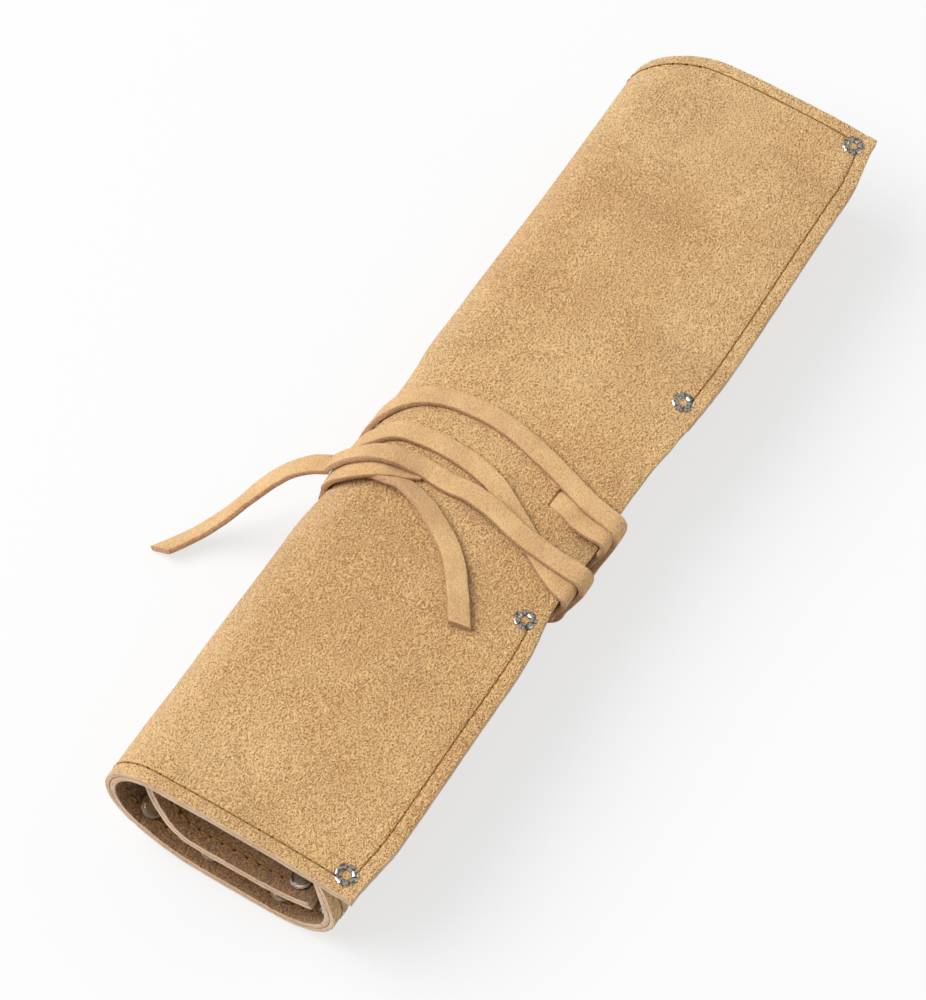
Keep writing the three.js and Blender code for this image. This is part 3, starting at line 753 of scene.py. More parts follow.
def dome_finish():
    """Smooth nickel of the heads."""
    bench = Bench("nickel_dome")
    c = colours()
    metal_patches = bench.noise(700.0, 3.0)
    tone = bench.mix(bench.between(metal_patches, 0.5, 0.75, 0.0, 0.3), rgba(c.dome), rgba(c.nickel))
    rough = bench.between(metal_patches, 0.3, 0.8, 0.26, 0.38)
    return bench.finish(tone, bench.bump(metal_patches, 0.00003), rough, Metallic=1.0)


def hole_finish():
    """Painted shade of a needle hole, on the dark disc that lies over it."""
    bench = Bench("painted_hole_shade")
    c = colours()
    tone = bench.mix(bench.noise(2500.0, 2.0), rgba(c.hole), rgba(c.hole_side))
    return bench.finish(tone, None, 1.0, **{"Specular IOR Level": 0.0})


def nickel_finish():
    """Bright spread prongs with dark reflections painted in noise patches over their rolls."""
    bench = Bench("nickel")
    c = colours()
    metal_patches = bench.noise(1150.0, 2.0)
    # Dark reflections are painted on in noise patches: the tone drops to the dark reflection colour.
    tone = bench.mix(bench.between(metal_patches, 0.46, 0.60, 0.0, 0.85), rgba(c.nickel), rgba(c.painted_reflection))
    rough = bench.between(metal_patches, 0.3, 0.8, 0.12, 0.36)
    return bench.finish(tone, bench.bump(metal_patches, 0.00004), rough, Metallic=1.0)


FINISHES = {
    "suede_outside": suede_outside,
    "suede_flesh": suede_flesh,
    "cut_edge": cut_edge,
    "lace_flat": lace_flat,
    "lace_side": lace_side,
    "gold_thread": thread_finish,
    "nickel": nickel_finish,
    "nickel_dome": dome_finish,
    "painted_hole_shade": hole_finish,
}


def finish_named(name):
    """The named material, made the first time it is asked for."""
    return bpy.data.materials.get(name) or FINISHES[name]()


# ---- Modelling helpers ----
def deselect():
    """Clears the selection, which loading the frame leaves full."""
    bpy.ops.object.select_all(action="DESELECT")


def make_active(obj):
    """Selects one object alone."""
    deselect()
    obj.select_set(True)
    bpy.context.view_layer.objects.active = obj


def apply_modifier(obj, kind, **settings):
    """Adds a modifier and applies it."""
    make_active(obj)
    bpy.ops.object.modifier_add(type=kind)
    modifier = obj.modifiers[-1]
    for key, value in settings.items():
        setattr(modifier, key, value)
    bpy.ops.object.modifier_apply(modifier=modifier.name)


def new_piece(name, verts, faces, finishes, uvs=None, slots=None):
    """A mesh object from points and faces, with its materials, and UVs given per point."""
    mesh = bpy.data.meshes.new(name)
    mesh.from_pydata([tuple(v) for v in verts], [], faces)
    obj = bpy.data.objects.new(name, mesh)
    bpy.context.scene.collection.objects.link(obj)
    for each in finishes:
        mesh.materials.append(finish_named(each))
    if uvs is not None:
        layer = mesh.uv_layers.new(name="UVMap")
        for loop in mesh.loops:
            layer.data[loop.index].uv = uvs[loop.vertex_index]
    if slots is not None:
        mesh.polygons.foreach_set("material_index", slots)
    mesh.validate()
    mesh.update()
    return obj


def pick_faces(obj, wanted):
    """Opens the active mesh for editing with only the wanted faces selected."""
    bpy.ops.object.mode_set(mode="EDIT")
    bpy.ops.mesh.select_mode(type="FACE")
    bpy.ops.object.mode_set(mode="OBJECT")
    for face in obj.data.polygons:
        face.select = wanted(face)
    bpy.ops.object.mode_set(mode="EDIT")


def smooth(obj, degrees):
    """Smooth shading, broken at sharp edges."""
    make_active(obj)
    bpy.ops.object.shade_smooth_by_angle(angle=math.radians(degrees))


FINE_OFFSETS = (-0.0022, -0.0012, -0.0006, 0, 0.0006, 0.0012, 0.0022)
LEAST_GAP, END_ROOM = 0.0003, 0.0004


def stations(low, high, step, fine_at):
    """Grid lines from low to high: every step, and closer round each fine place."""
    fine = sorted(place + offset for place in fine_at for offset in FINE_OFFSETS)
    fine = [value for value in fine if low + END_ROOM < value < high - END_ROOM]
    marks = [low]
    for value in [*fine, high]:
        gap = value - marks[-1]
        if gap < LEAST_GAP and value != high:
            continue
        count = max(math.ceil(gap / step), 1)
        start = marks[-1]
        marks.extend(start + gap * k / count for k in range(1, count + 1))
    return marks


LEATHER_FINISHES = ("suede_outside", "suede_flesh", "cut_edge")


def leather_slab(name, sheet, grid, depths, hole=None):
    """A ply of the rolled sheet: a flat grid is given its thickness, rolled up, and its rims rounded."""
    xs, ss = grid
    deselect()
    bpy.ops.mesh.primitive_grid_add(x_subdivisions=len(xs) - 1, y_subdivisions=len(ss) - 1, size=1)
    obj = bpy.context.object
    obj.name = obj.data.name = name
    mesh = obj.data
    uv = mesh.uv_layers.active or mesh.uv_layers.new(name="UVMap")
    uv.name = "UVMap"
    for vert in mesh.vertices:
        column = round((vert.co.x + 0.5) * (len(xs) - 1))
        row = round((vert.co.y + 0.5) * (len(ss) - 1))
        vert.co = (xs[column], ss[row], 0)
    for loop in mesh.loops:
        uv.data[loop.index].uv = mesh.vertices[loop.vertex_index].co.xy
    if hole:
        cut_out(obj, hole)
    for each in LEATHER_FINISHES:
        mesh.materials.append(finish_named(each))
    thickness = depths[1] - depths[0]
    slots = {"material_offset": 1, "material_offset_rim": 2}
    apply_modifier(obj, "SOLIDIFY", thickness=thickness, offset=-1, **slots)
    for vert in mesh.vertices:
        depth = depths[0] if vert.co.z > -thickness / 2 else depths[1]
        x, s, rim = vert.co.x, vert.co.y, 0.0
        if min(s, sheet.length - s) < 1e-6 or sheet.half - abs(x) < 1e-6:
            rim = RIM_FRAY * noise.noise(Vector((x * RIM_SCALE, s * RIM_SCALE, depth * RIM_PLY_SCALE)))
        vert.co = sheet.worn(x, s + rim, depth) + Vector((rim, 0, 0))
    mesh.update()
    round_edges(obj, RIM_ROUND, 2, 55)
    smooth(obj, 50)
    return obj


def round_edges(obj, width, segments, degrees):
    """Rounds every edge sharper than the angle."""
    limit = {"limit_method": "ANGLE", "angle_limit": math.radians(degrees)}
    apply_modifier(obj, "BEVEL", width=width, segments=segments, **limit)


def cut_out(obj, hole):
    """Deletes the grid's faces whose middles lie in the hole."""
    (x0, x1), (s0, s1) = hole
    make_active(obj)
    pick_faces(obj, lambda face: x0 < face.center.x < x1 and s0 < face.center.y < s1)
    bpy.ops.mesh.delete(type="FACE")
    bpy.ops.object.mode_set(mode="OBJECT")


# ---- What is sewn and riveted ----
def pocket_sets(sheet):
    """(end, x of the roll's end, x of the pockets' mouth, dividers) for both ends."""
    return (
        ("near", -sheet.half, -sheet.half + NEAR_POCKET, NEAR_DIVIDERS),
        ("far", sheet.half, sheet.half - FAR_POCKET, FAR_DIVIDERS),
    )


def rivet_spots(sheet):
    """(CAD node, x, s) of every rivet."""
    spots = []
    for end, end_x, mouth_x, dividers in pocket_sets(sheet):
        inwards = math.copysign(1, mouth_x - end_x)
        rows = [("flap_edge", RIVET_INSET), ("inner_edge", sheet.length - RIVET_INSET)]
        rows += [(f"divider_{i + 1}", s) for i, s in enumerate(dividers)]
        for row, s in rows:
            spots.append((f"rivet_{end}_{row}_end", end_x + inwards * RIVET_INSET, s))
            spots.append((f"rivet_{end}_{row}_mouth", mouth_x - inwards * RIVET_INSET, s))
    return spots


def seam_rows(sheet):
    """(CAD node, along x or s, where the row lies, from, to) of every row of stitches."""
    rows = []
    for end, end_x, mouth_x, dividers in pocket_sets(sheet):
        inwards = math.copysign(1, mouth_x - end_x)
        where = end_x + inwards * SEAM_INSET
        rows.append((f"seam_{end}_end", "s", where, SEAM_INSET, sheet.length - SEAM_INSET))
        reach = (end_x + inwards * (SEAM_INSET + CORNER_GAP), mouth_x - inwards * SEAM_INSET)
        for edge, s in (("flap", SEAM_INSET), ("inner", sheet.length - SEAM_INSET)):
            rows.append((f"seam_{end}_{edge}_edge", "x", s, min(reach), max(reach)))
        gap = RIVET_INSET + STITCH_END_GAP
        reach = (end_x + inwards * gap, mouth_x - inwards * gap)
        for i, s in enumerate(dividers):
            rows.append((f"seam_{end}_divider_{i + 1}", "x", s, min(reach), max(reach)))
    return rows


STITCH_SIDES = 6
# One stitch as rings of points: share of the pitch, height and radius, both in thread radii.
STITCH_RINGS = (
    (0.0, -2.6, 0.8),
    (0.05, -0.5, 0.95),
    (0.2, 0.35, 1.0),
    (0.5, 0.6, 1.0),
    (0.8, 0.35, 1.0),
    (0.95, -0.5, 0.95),
    (1.0, -2.6, 0.8),
)
STITCH_START, STITCH_SHARE = 0.08, 0.84  # of the pitch: where a stitch rises, and its length
INSIDE_THREAD = 1.5  # the thread lies looser, and looks thicker, inside
HOLE_WIDTH, HOLE_STRETCH = 1.9, 1.25  # in thread radii, and its length over its width
HOLE_RINGS = ((-0.35, 0.3), (0.05, 1.0), (0.09, 0.45))  # height and radius, in hole radii


def sewn_row(name, sheet, along, where, start, stop):
    """A row of lock stitches: thread outside and inside, diving into the same needle holes."""
    size = sheet.size
    count = max(round((stop - start) / size.stitch_pitch), 1)
    pitch = (stop - start) / count
    verts, faces, uvs, slots = [], [], [], []

    def ring(face, at, height, radius, share):
        """Adds points round the thread or, when share is None, flat on the leather round a hole."""
        depth, outward = face
        x, s = (at, where) if along == "x" else (where, at)
        there = sheet.frame_at(x, s, depth)
        side, forward, out = (there.col[i].to_3d() for i in range(3))
        across, lengthwise = (forward, side) if along == "x" else (side, forward)
        other, stretch = (lengthwise, HOLE_STRETCH) if share is None else (out, 1.0)
        middle = there.translation + out * height * outward
        for j in range(STITCH_SIDES):
            a = 2 * math.pi * j / STITCH_SIDES
            verts.append(middle + across * math.cos(a) * radius + other * math.sin(a) * radius * stretch)
            uvs.append(((share or 0) * 4, j / STITCH_SIDES))

    def close(rings, slot):
        """Makes a closed tube of the last rings."""
        made = tube_faces(len(verts) - rings * STITCH_SIDES, rings, STITCH_SIDES)
        faces.extend(made)
        slots.extend([slot] * len(made))

    for face, thick in (((0, 1), 1.0), ((sheet.stack, -1), INSIDE_THREAD)):
        thread, hole = size.thread_radius * thick, size.thread_radius * HOLE_WIDTH * thick
        for k in range(count):
            for share, height, radius in STITCH_RINGS:
                at = start + pitch * (k + STITCH_START + STITCH_SHARE * share)
                ring(face, at, height * thread, radius * thread, share)
            close(len(STITCH_RINGS), 0)
        # Each needle hole is a flat dark disc on the leather: painted shade for the hole's depth.
        for k in range(count + 1):
            for height, radius in HOLE_RINGS:
                ring(face, start + pitch * k, height * hole, radius * hole, None)
            close(len(HOLE_RINGS), 1)
    obj = new_piece(name, verts, faces, ["gold_thread", "painted_hole_shade"], uvs, slots)
    outwards(obj)
    smooth(obj, 80)
    return obj


def tube_faces(base, rings, sides):
    """Quads of a tube with its two ends closed."""
    faces = []
    for i in range(rings - 1):
        for j in range(sides):
            a, b = base + i * sides + j, base + i * sides + (j + 1) % sides
            faces.append((a, b, b + sides, a + sides))
    faces.append(tuple(base + j for j in reversed(range(sides))))
    faces.append(tuple(base + (rings - 1) * sides + j for j in range(sides)))
    return faces


def outwards(obj):
    """Turns every face of a closed mesh outwards."""
    make_active(obj)
    bpy.ops.object.mode_set(mode="EDIT")
    bpy.ops.mesh.select_all(action="SELECT")
    bpy.ops.mesh.normals_make_consistent(inside=False)
    bpy.ops.object.mode_set(mode="OBJECT")


# A prong's thickness, width and root, and how far the roll of it turns, flares and sinks.
PRONG_THICK, PRONG_WIDE, PRONG_ROOT = 0.00036, 0.0013, 0.0004
PRONG_INNER = 0.41  # of the flower's radius
PRONG_TURN, PRONG_STEPS = 200, 9
PRONG_WAIST, PRONG_FLARE, PRONG_RISE = 0.85, 0.75, 0.62
SHANK_RADIUS, SHANK_DROP = 0.0012, 0.0004
HEAD_ROUND, HEAD_INSET, HEAD_STEP = 0.78, 0.5, 0.12  # shares of its height, radius and height
RIVET_TURN, PRONG_WANDER = 0.61, 0.12


def model_prong(size):
    """One prong of a split rivet: a strip of the shank, spun up, out and back down into the leather."""
    deselect()
    inner, outer = size.flower_radius * PRONG_INNER, size.flower_radius
    bpy.ops.mesh.primitive_cube_add(size=1)
    prong = bpy.context.object
    for vert in prong.data.vertices:
        x, y, z = vert.co
        vert.co = (inner + x * PRONG_THICK, y * PRONG_WIDE, z * PRONG_ROOT - PRONG_ROOT / 2)
    pick_faces(prong, lambda face: face.normal.z > 0.9)
    middle = ((inner + outer) / 2, 0, 0)
    bpy.ops.mesh.spin(steps=PRONG_STEPS, angle=math.radians(PRONG_TURN), center=middle, axis=(0, -1, 0))
    bpy.ops.object.mode_set(mode="OBJECT")
    for vert in prong.data.vertices:
        share = min(max((vert.co.x - inner) / (outer - inner), 0), 1)
        vert.co.y *= PRONG_WAIST + PRONG_FLARE * math.sin(share * math.pi * 0.8)
        vert.co.z *= PRONG_RISE if vert.co.z > 0 else 1
    round_edges(prong, 0.00009, 1, 40)
    apply_modifier(prong, "SUBSURF", levels=1, render_levels=1)
    outwards(prong)
    return prong


def model_rivet(size, sheet):
    """A whole split rivet in its own frame: +Z outwards, with the leather's outer face at z = 0."""
    prong = model_prong(size)
    parts = [prong]
    for k in range(1, size.prongs):
        twin = prong.copy()
        twin.data = prong.data.copy()
        bpy.context.scene.collection.objects.link(twin)
        wander = PRONG_WANDER * noise.noise(Vector((k * 1.7, 0.3, 0.9)))
        twin.data.transform(Matrix.Rotation(2 * math.pi * k / size.prongs + wander, 4, "Z"))
        parts.append(twin)
    deselect()
    bpy.ops.mesh.primitive_cylinder_add(vertices=32, radius=size.head_radius, depth=size.head_height)
    head = bpy.context.object
    head.data.transform(Matrix.Translation((0, 0, -sheet.stack - size.head_height / 2)))
    pick_faces(head, lambda face: face.normal.z < -0.9)
    bpy.ops.mesh.bevel(offset=size.head_height * HEAD_ROUND, segments=6, profile=0.5, affect="EDGES")
    bpy.ops.mesh.inset(thickness=size.head_radius * HEAD_INSET)
    bpy.ops.transform.translate(value=(0, 0, -size.head_height * HEAD_STEP))
    bpy.ops.object.mode_set(mode="OBJECT")
    parts.append(head)
    deselect()
    bpy.ops.mesh.primitive_cylinder_add(vertices=16, radius=SHANK_RADIUS, depth=sheet.stack)
    shank = bpy.context.object
    shank.data.transform(Matrix.Translation((0, 0, -sheet.stack / 2 - SHANK_DROP)))
    round_edges(shank, 0.0003, 2, 40)
    parts.append(shank)
    make_active(head)
    for part in parts:
        part.select_set(True)
    bpy.ops.object.join()
    rivet = bpy.context.object
    rivet.data.materials.clear()
    for each in ("nickel", "nickel_dome"):
        rivet.data.materials.append(finish_named(each))
    for face in rivet.data.polygons:
        face.material_index = 1 if face.center.z < -sheet.stack / 2 else 0
    smooth(rivet, 50)
    return rivet


# ---- Lace ----
# The lace's section, in half widths and half thicknesses: from one side over a flat, and back.
STRAP_CORNER = ((1, 0.62), (0.95, 0.9), (0.84, 1.0), (0.45, 1.03))
STRAP_FLAT = ((-1, 0.0), *((-u, v) for u, v in STRAP_CORNER), (0.0, 1.04), *reversed(STRAP_CORNER))
STRAP_PROFILE = (*STRAP_FLAT, *((-u, -v) for u, v in STRAP_FLAT))
STRAP_SIDE_FACES = (0, 1, 8, 9)  # in each half of the section
STRAP_WEAR, STRAP_WEAR_SCALE = 0.045, 160
TIP_POINTS = 5  # over which a cut end slants


def lace_strap(name, sheet, points, outs, twists=None, point_tip=0.0, slim=1.0):
    """A flat lace along points, its flat facing outs, with worn corners and a slightly uneven width."""
    size = sheet.size
    sides = len(STRAP_PROFILE)
    verts, uvs = [], []
    run = 0
    for k, (point, out) in enumerate(zip(points, outs)):
        ahead, behind = points[min(k + 1, len(points) - 1)], points[max(k - 1, 0)]
        along = (ahead - behind).normalized()
        side = along.cross(out).normalized()
        face = side.cross(along)
        if twists is not None:
            turn = Matrix.Rotation(math.radians(twists[k]), 3, along)
            side, face = turn @ side, turn @ face
        run += (point - points[max(k - 1, 0)]).length
        tip = max(0, 1 - (len(points) - 1 - k) / TIP_POINTS) * point_tip
        for u, v in STRAP_PROFILE:
            at = Vector((run * STRAP_WEAR_SCALE, math.copysign(3, u), 0.5))
            rough = 1 + STRAP_WEAR * noise.noise(at)
            half = size.lace_width / 2 * rough * slim
            slant = along * (u * tip * size.lace_width / 2)
            verts.append(point + side * (u * half) + face * (v * size.lace_thickness / 2 * slim) + slant)
            uvs.append((run, u * half))
    around = [1 if j % len(STRAP_FLAT) in STRAP_SIDE_FACES else 0 for j in range(sides)]
    slots = around * (len(points) - 1) + [1, 1]
    faces = tube_faces(0, len(points), sides)
    obj = new_piece(name, verts, faces, ["lace_flat", "lace_side"], uvs, slots)
    outwards(obj)
    smooth(obj, 60)
    return obj


LACE_STEP, KNOT_STEP = 0.001, 0.0008
PROBE = 0.001  # how far out a point is taken to find the outward direction
FLATTENED = 1000  # layers and degrees are divided by this so that they don't lengthen a path


def with_out(at, x, w, lift):
    """A point of the lace and the outward direction there; at is the sheet's own way to place it."""
    point = at(x, w, lift)
    return point, (at(x, w, lift + PROBE) - point).normalized()


def tie_points(sheet, route):
    """Points and outward directions of a lace round the roll."""
    flat = [(x, w - turns * sheet.turn, layer / FLATTENED) for x, w, turns, layer in route]
    way = [
        with_out(sheet.on_tie, x, w, sheet.lace_lift(layer * FLATTENED))
        for x, w, layer in smooth_path(flat, LACE_STEP)
    ]
    return zip(*way)


def knot_points(sheet, route):
    """Points, outward directions and twists of one strand of the knot."""
    flat = [(x, w, lift, twist / FLATTENED) for x, w, lift, twist in route]
    way = [
        (*with_out(sheet.on_tie, x, w, lift), twist * FLATTENED)
        for x, w, lift, twist in smooth_path(flat, KNOT_STEP)
    ]
    return zip(*way)


# ---- The operators, one for each kind of piece ----
def hand_over(obj, body, node):
    """Lets a finished piece ride on its body and stand for its CAD node."""
    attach(obj, body)
    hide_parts(*([node] if isinstance(node, str) else node))


def the_sheet():
    """The rolled sheet, ready with its rivets and the lace on it."""
    sheet = RolledSheet(sizes())
    spots = rivet_spots(sheet)
    sheet.rivet_tree = KDTree(len(spots))
    for i, (_, x, s) in enumerate(spots):
        sheet.rivet_tree.insert((x, s, 0), i)
    sheet.rivet_tree.balance()
    laid = []
    for route in (FAR_ROUTE, NEAR_ROUTE):
        flat = [(x, w - turns * sheet.turn) for x, w, turns, _ in route]
        laid += [(x, w % sheet.turn) for x, w in smooth_path(flat, 0.003)]
    sheet.lace_tree = KDTree(len(laid))
    for i, (x, w) in enumerate(laid):
        sheet.lace_tree.insert((x, w, 0), i)
    sheet.lace_tree.balance()
    return sheet


class PENCILROLL_OT_stage(bpy.types.Operator):
    """Adds the pale floor, the soft lamps and the camera"""

    bl_idname = "pencil_roll.stage"
    bl_label = "Stage"

    def execute(self, context):
        scene = context.scene
        scene.view_settings.view_transform = "Standard"
        azimuth, elevation = math.radians(CAMERA_AZIMUTH), math.radians(CAMERA_ELEVATION)
        level = math.cos(elevation)
        back = Vector((math.sin(azimuth) * level, -math.cos(azimuth) * level, math.sin(elevation)))
        data = bpy.data.cameras.new("camera")
        data.lens, data.sensor_width, data.sensor_fit = CAMERA_LENS, SENSOR_WIDTH, "AUTO"
        data.clip_start, data.clip_end = 0.05, 30
        camera = bpy.data.objects.new("camera", data)
        scene.collection.objects.link(camera)
        camera.location = CAMERA_TARGET + back * CAMERA_DISTANCE
        camera.rotation_euler = (-back).to_track_quat("-Z", "Y").to_euler()
        scene.camera = camera
        deselect()
        bpy.ops.mesh.primitive_plane_add(size=FLOOR_SIZE, location=(0, 0, 0))
        floor = context.object
        floor.name = "floor"
        floor.data.materials.append(floor_finish())
        for name, place, size, power in LAMPS:
            light = bpy.data.lights.new(name, "AREA")
            light.shape, light.size, light.energy = "DISK", size, power
            lamp = bpy.data.objects.new(name, light)
            lamp.location = place
            aim = Vector(LAMP_TARGET) - Vector(place)
            lamp.rotation_euler = aim.to_track_quat("-Z", "Y").to_euler()
            scene.collection.objects.link(lamp)
        scene.world = pale_world()
        return {"FINISHED"}


def floor_finish():
    """A white table that keeps the roll's soft shadow."""
    bench = Bench("white_table")
    paint = bench.add("ShaderNodeBsdfDiffuse", {"Color": FLOOR_PAINT}).outputs[0]
    glow = bench.add("ShaderNodeEmission", {"Color": FLOOR_WHITE, "Strength": FLOOR_GLOW}).outputs[0]
    rays = bench.add("ShaderNodeLightPath")
    seen = bench.math("MAXIMUM", rays.outputs["Is Camera Ray"], rays.outputs["Is Glossy Ray"])
    seen = bench.math("MAXIMUM", seen, rays.outputs["Is Transmission Ray"])
    share = bench.math("MULTIPLY", seen, FLOOR_GLOW_SHARE)
    both = bench.add("ShaderNodeMixShader", {0: share, 1: paint, 2: glow}).outputs[0]
    bench.add("ShaderNodeOutputMaterial", {"Surface": both})
    return bench.material


def pale_world():
    """An even pale sky, white where the camera sees it."""
    world = bpy.data.worlds.new("pale_room")
    world.use_nodes = True
    tree = world.node_tree
    tree.nodes.clear()
    rays = tree.nodes.new("ShaderNodeLightPath")
    room = tree.nodes.new("ShaderNodeBackground")
    room.inputs["Color"].default_value = ROOM_COLOUR
    room.inputs["Strength"].default_value = ROOM_STRENGTH
    white = tree.nodes.new("ShaderNodeBackground")
    white.inputs["Color"].default_value = BACKDROP
    mix = tree.nodes.new("ShaderNodeMixShader")
    out = tree.nodes.new("ShaderNodeOutputWorld")
    tree.links.new(rays.outputs["Is Camera Ray"], mix.inputs[0])
    tree.links.new(room.outputs[0], mix.inputs[1])
    tree.links.new(white.outputs[0], mix.inputs[2])
    tree.links.new(mix.outputs[0], out.inputs["Surface"])
    return world


class PENCILROLL_OT_outer_sheet(bpy.types.Operator):
    """Makes the rolled outer sheet with its slit for the lace"""

    bl_idname = "pencil_roll.outer_sheet"
    bl_label = "Outer sheet"

    def execute(self, context):
        sheet = the_sheet()
        size = sheet.size
        rows = sorted({*NEAR_DIVIDERS, *FAR_DIVIDERS})
        xs, ss = leather_grid(sheet, -sheet.half, sheet.half, rows)
        side = size.lace_width / 2 + SLIT_SIDE_ROOM
        hole = ((SLIT_X - side, SLIT_X + side), (SLIT_S - SLIT_BEFORE, SLIT_S + SLIT_AFTER))
        grid = (with_cuts(xs, hole[0]), with_cuts(ss, hole[1]))
        obj = leather_slab("suede_sheet", sheet, grid, (0, size.sheet_thickness), hole)
        hand_over(obj, "roll", "outer_sheet")
        return {"FINISHED"}


def with_cuts(marks, cuts):
    """Grid lines with one on each side of a cut, and none too close to it."""
    return sorted({*[mark for mark in marks if min(abs(mark - cut) for cut in cuts) > 0.0006], *cuts})


def leather_grid(sheet, low, high, rows):
    """Grid lines along x and s that are fine at seams and rivets."""
    size = sheet.size
    columns = [side * (sheet.half - SEAM_INSET) for side in (-1, 1)]
    columns += [-sheet.half + NEAR_POCKET - RIVET_INSET, sheet.half - FAR_POCKET + RIVET_INSET]
    lines = [SEAM_INSET, sheet.length - SEAM_INSET, *rows]
    return (
        stations(low, high, size.grid_step, columns),
        stations(0, sheet.length, size.grid_step, lines),
    )


class PENCILROLL_OT_pockets(bpy.types.Operator):
    """Makes the two pocket panels inside the ends of the roll"""

    bl_idname = "pencil_roll.pockets"
    bl_label = "Pocket panels"

    def execute(self, context):
        sheet = the_sheet()
        size = sheet.size
        for end, end_x, mouth_x, dividers in pocket_sets(sheet):
            grid = leather_grid(sheet, min(end_x, mouth_x), max(end_x, mouth_x), dividers)
            depths = (size.sheet_thickness + PLY_GAP / 4, sheet.stack)
            obj = leather_slab(f"pocket_leather_{end}", sheet, grid, depths)
            hand_over(obj, "roll", f"pocket_panel_{end}")
        return {"FINISHED"}


class PENCILROLL_OT_seams(bpy.types.Operator):
    """Sews every row of stitches"""

    bl_idname = "pencil_roll.seams"
    bl_label = "Stitches"

    def execute(self, context):
        sheet = the_sheet()
        for node, along, where, start, stop in seam_rows(sheet):
            obj = sewn_row(node.replace("seam", "stitches"), sheet, along, where, start, stop)
            hand_over(obj, "roll", node)
        return {"FINISHED"}


class PENCILROLL_OT_rivets(bpy.types.Operator):
    """Models one split rivet and sets a copy in every hole"""

    bl_idname = "pencil_roll.rivets"
    bl_label = "Rivets"

    def execute(self, context):
        sheet = the_sheet()
        pattern = model_rivet(sheet.size, sheet)
        for i, (node, x, s) in enumerate(rivet_spots(sheet)):
            obj = pattern.copy()
            obj.data = pattern.data.copy()
            obj.name = obj.data.name = node.replace("rivet", "split_rivet")
            context.scene.collection.objects.link(obj)
            turned = Matrix.Rotation(i * RIVET_TURN, 4, "Z")
            obj.data.transform(sheet.frame_at(x, s) @ turned)
            hand_over(obj, "roll", node)
        bpy.data.objects.remove(pattern)
        return {"FINISHED"}


class PENCILROLL_OT_lace(bpy.types.Operator):
    """Winds the lace round the roll and ties it"""

    bl_idname = "pencil_roll.lace"
    bl_label = "Lace and knot"

    def execute(self, context):
        sheet = the_sheet()
        far = lace_strap("lace_round_far", sheet, *tie_points(sheet, FAR_ROUTE))
        hand_over(far, "roll", "tie_wrap_far")
        near = lace_strap("lace_round_near", sheet, *tie_points(sheet, NEAR_ROUTE))
        hand_over(near, "roll", "tie_wrap_near")
        under = lace_strap("knot_under_strand", sheet, *knot_points(sheet, UNDER_STRAND))
        hand_over(under, "roll", "tie_knot")
        over = lace_strap("knot_over_strand", sheet, *knot_points(sheet, OVER_STRAND))
        back = lace_strap("knot_return_strand", sheet, *knot_points(sheet, RETURN_STRAND), slim=0.96)
        for strand in (over, back):
            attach(strand, "roll")
        return {"FINISHED"}


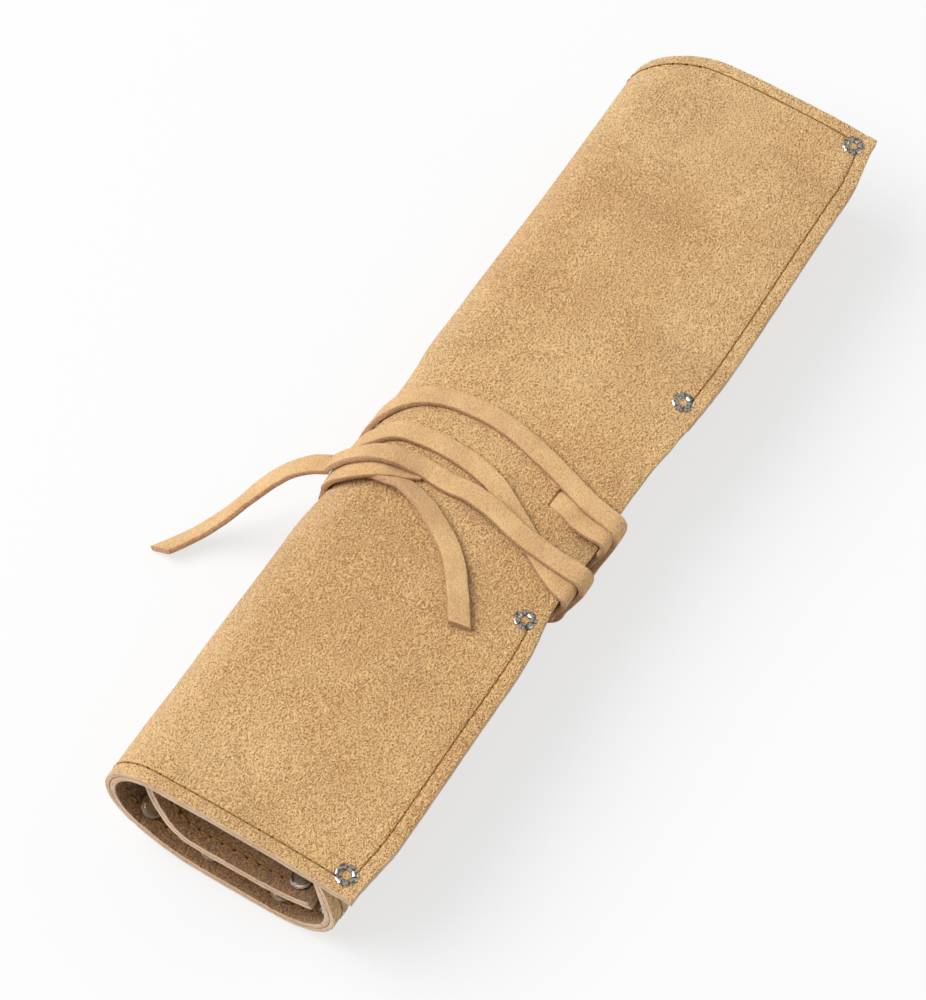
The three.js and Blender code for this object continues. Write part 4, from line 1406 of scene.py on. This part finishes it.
class PENCILROLL_OT_tails(bpy.types.Operator):
    """Lays the lace's two free tails"""

    bl_idname = "pencil_roll.tails"
    bl_label = "Lace tails"

    def execute(self, context):
        sheet = the_sheet()
        self.lay_tail(sheet, "left", *self.left_way(sheet))
        self.lay_tail(sheet, "top", *self.top_way(sheet))
        return {"FINISHED"}

    def left_way(self, sheet):
        """Points and outward directions of the tail that hangs to the table, turning as it falls."""
        base = sheet.above_sheet(*LEFT_ROOT)
        route = [(base.x + dx, base.y + dy, base.z * share) for dx, dy, share in LEFT_TAIL]
        points = [Vector(p) for p in smooth_path(route, LACE_STEP)]
        outs = []
        for k in range(len(points)):
            t = min(max((k / (len(points) - 1) - TAIL_TURN_FROM) / TAIL_TURN_RAMP, 0), 1)
            turn = t * t * (3 - 2 * t) * TAIL_TURN
            outs.append(Vector((-0.8 * math.sin(turn), 0.35, 1 - 0.5 * turn)).normalized())
        return points, outs

    def top_way(self, sheet):
        """Points and outward directions of the tail that lies on the crown."""
        return zip(*[with_out(sheet.above_sheet, *place) for place in smooth_path(TOP_TAIL, LACE_STEP)])

    def lay_tail(self, sheet, side, points, outs):
        """One free tail."""
        lay, slant, turned = TAIL_MANNERS[side]
        ends = (TAIL_TURN_FROM, TAIL_TURN_FROM + TAIL_TURN_RAMP)
        twists = list(np.interp(np.linspace(0, 1, len(points)), ends, turned))
        obj = lace_strap(f"lace_tail_{side}", sheet, points, outs, twists, point_tip=slant)
        hand_over(obj, f"tail_{side}", f"tie_tail_{side}")


OPERATORS = (
    PENCILROLL_OT_stage,
    PENCILROLL_OT_tails,
    PENCILROLL_OT_lace,
    PENCILROLL_OT_outer_sheet,
    PENCILROLL_OT_pockets,
    PENCILROLL_OT_seams,
    PENCILROLL_OT_rivets,
)


class PENCILROLL_PT_build(bpy.types.Panel):
    """Buttons for every piece, and the sizes and colours"""

    bl_idname = "PENCILROLL_PT_build"
    bl_label = "Pencil roll"
    bl_space_type = "VIEW_3D"
    bl_region_type = "UI"
    bl_category = "Pencil roll"

    def draw(self, context):
        for operator in OPERATORS:
            self.layout.operator(operator.bl_idname)
        for group in (sizes(), colours()):
            box = self.layout.box()
            for key in group.bl_rna.properties.keys():
                if key not in ("rna_type", "name"):
                    box.prop(group, key)


CLASSES = (PencilRollSizes, PencilRollColours, *OPERATORS, PENCILROLL_PT_build)


def register():
    """Registers the classes and hangs the settings on the scene."""
    for each in CLASSES:
        bpy.utils.register_class(each)
    bpy.types.Scene.pencil_roll_sizes = PointerProperty(type=PencilRollSizes)
    bpy.types.Scene.pencil_roll_colours = PointerProperty(type=PencilRollColours)


def unregister():
    """Takes away what register added."""
    del bpy.types.Scene.pencil_roll_colours
    del bpy.types.Scene.pencil_roll_sizes
    for each in reversed(CLASSES):
        bpy.utils.unregister_class(each)


def main():
    """Makes every piece in order."""
    register()
    for operator in OPERATORS:
        area, name = operator.bl_idname.split(".")
        getattr(getattr(bpy.ops, area), name)()
    deselect()


if __name__ == "__main__":
    main()
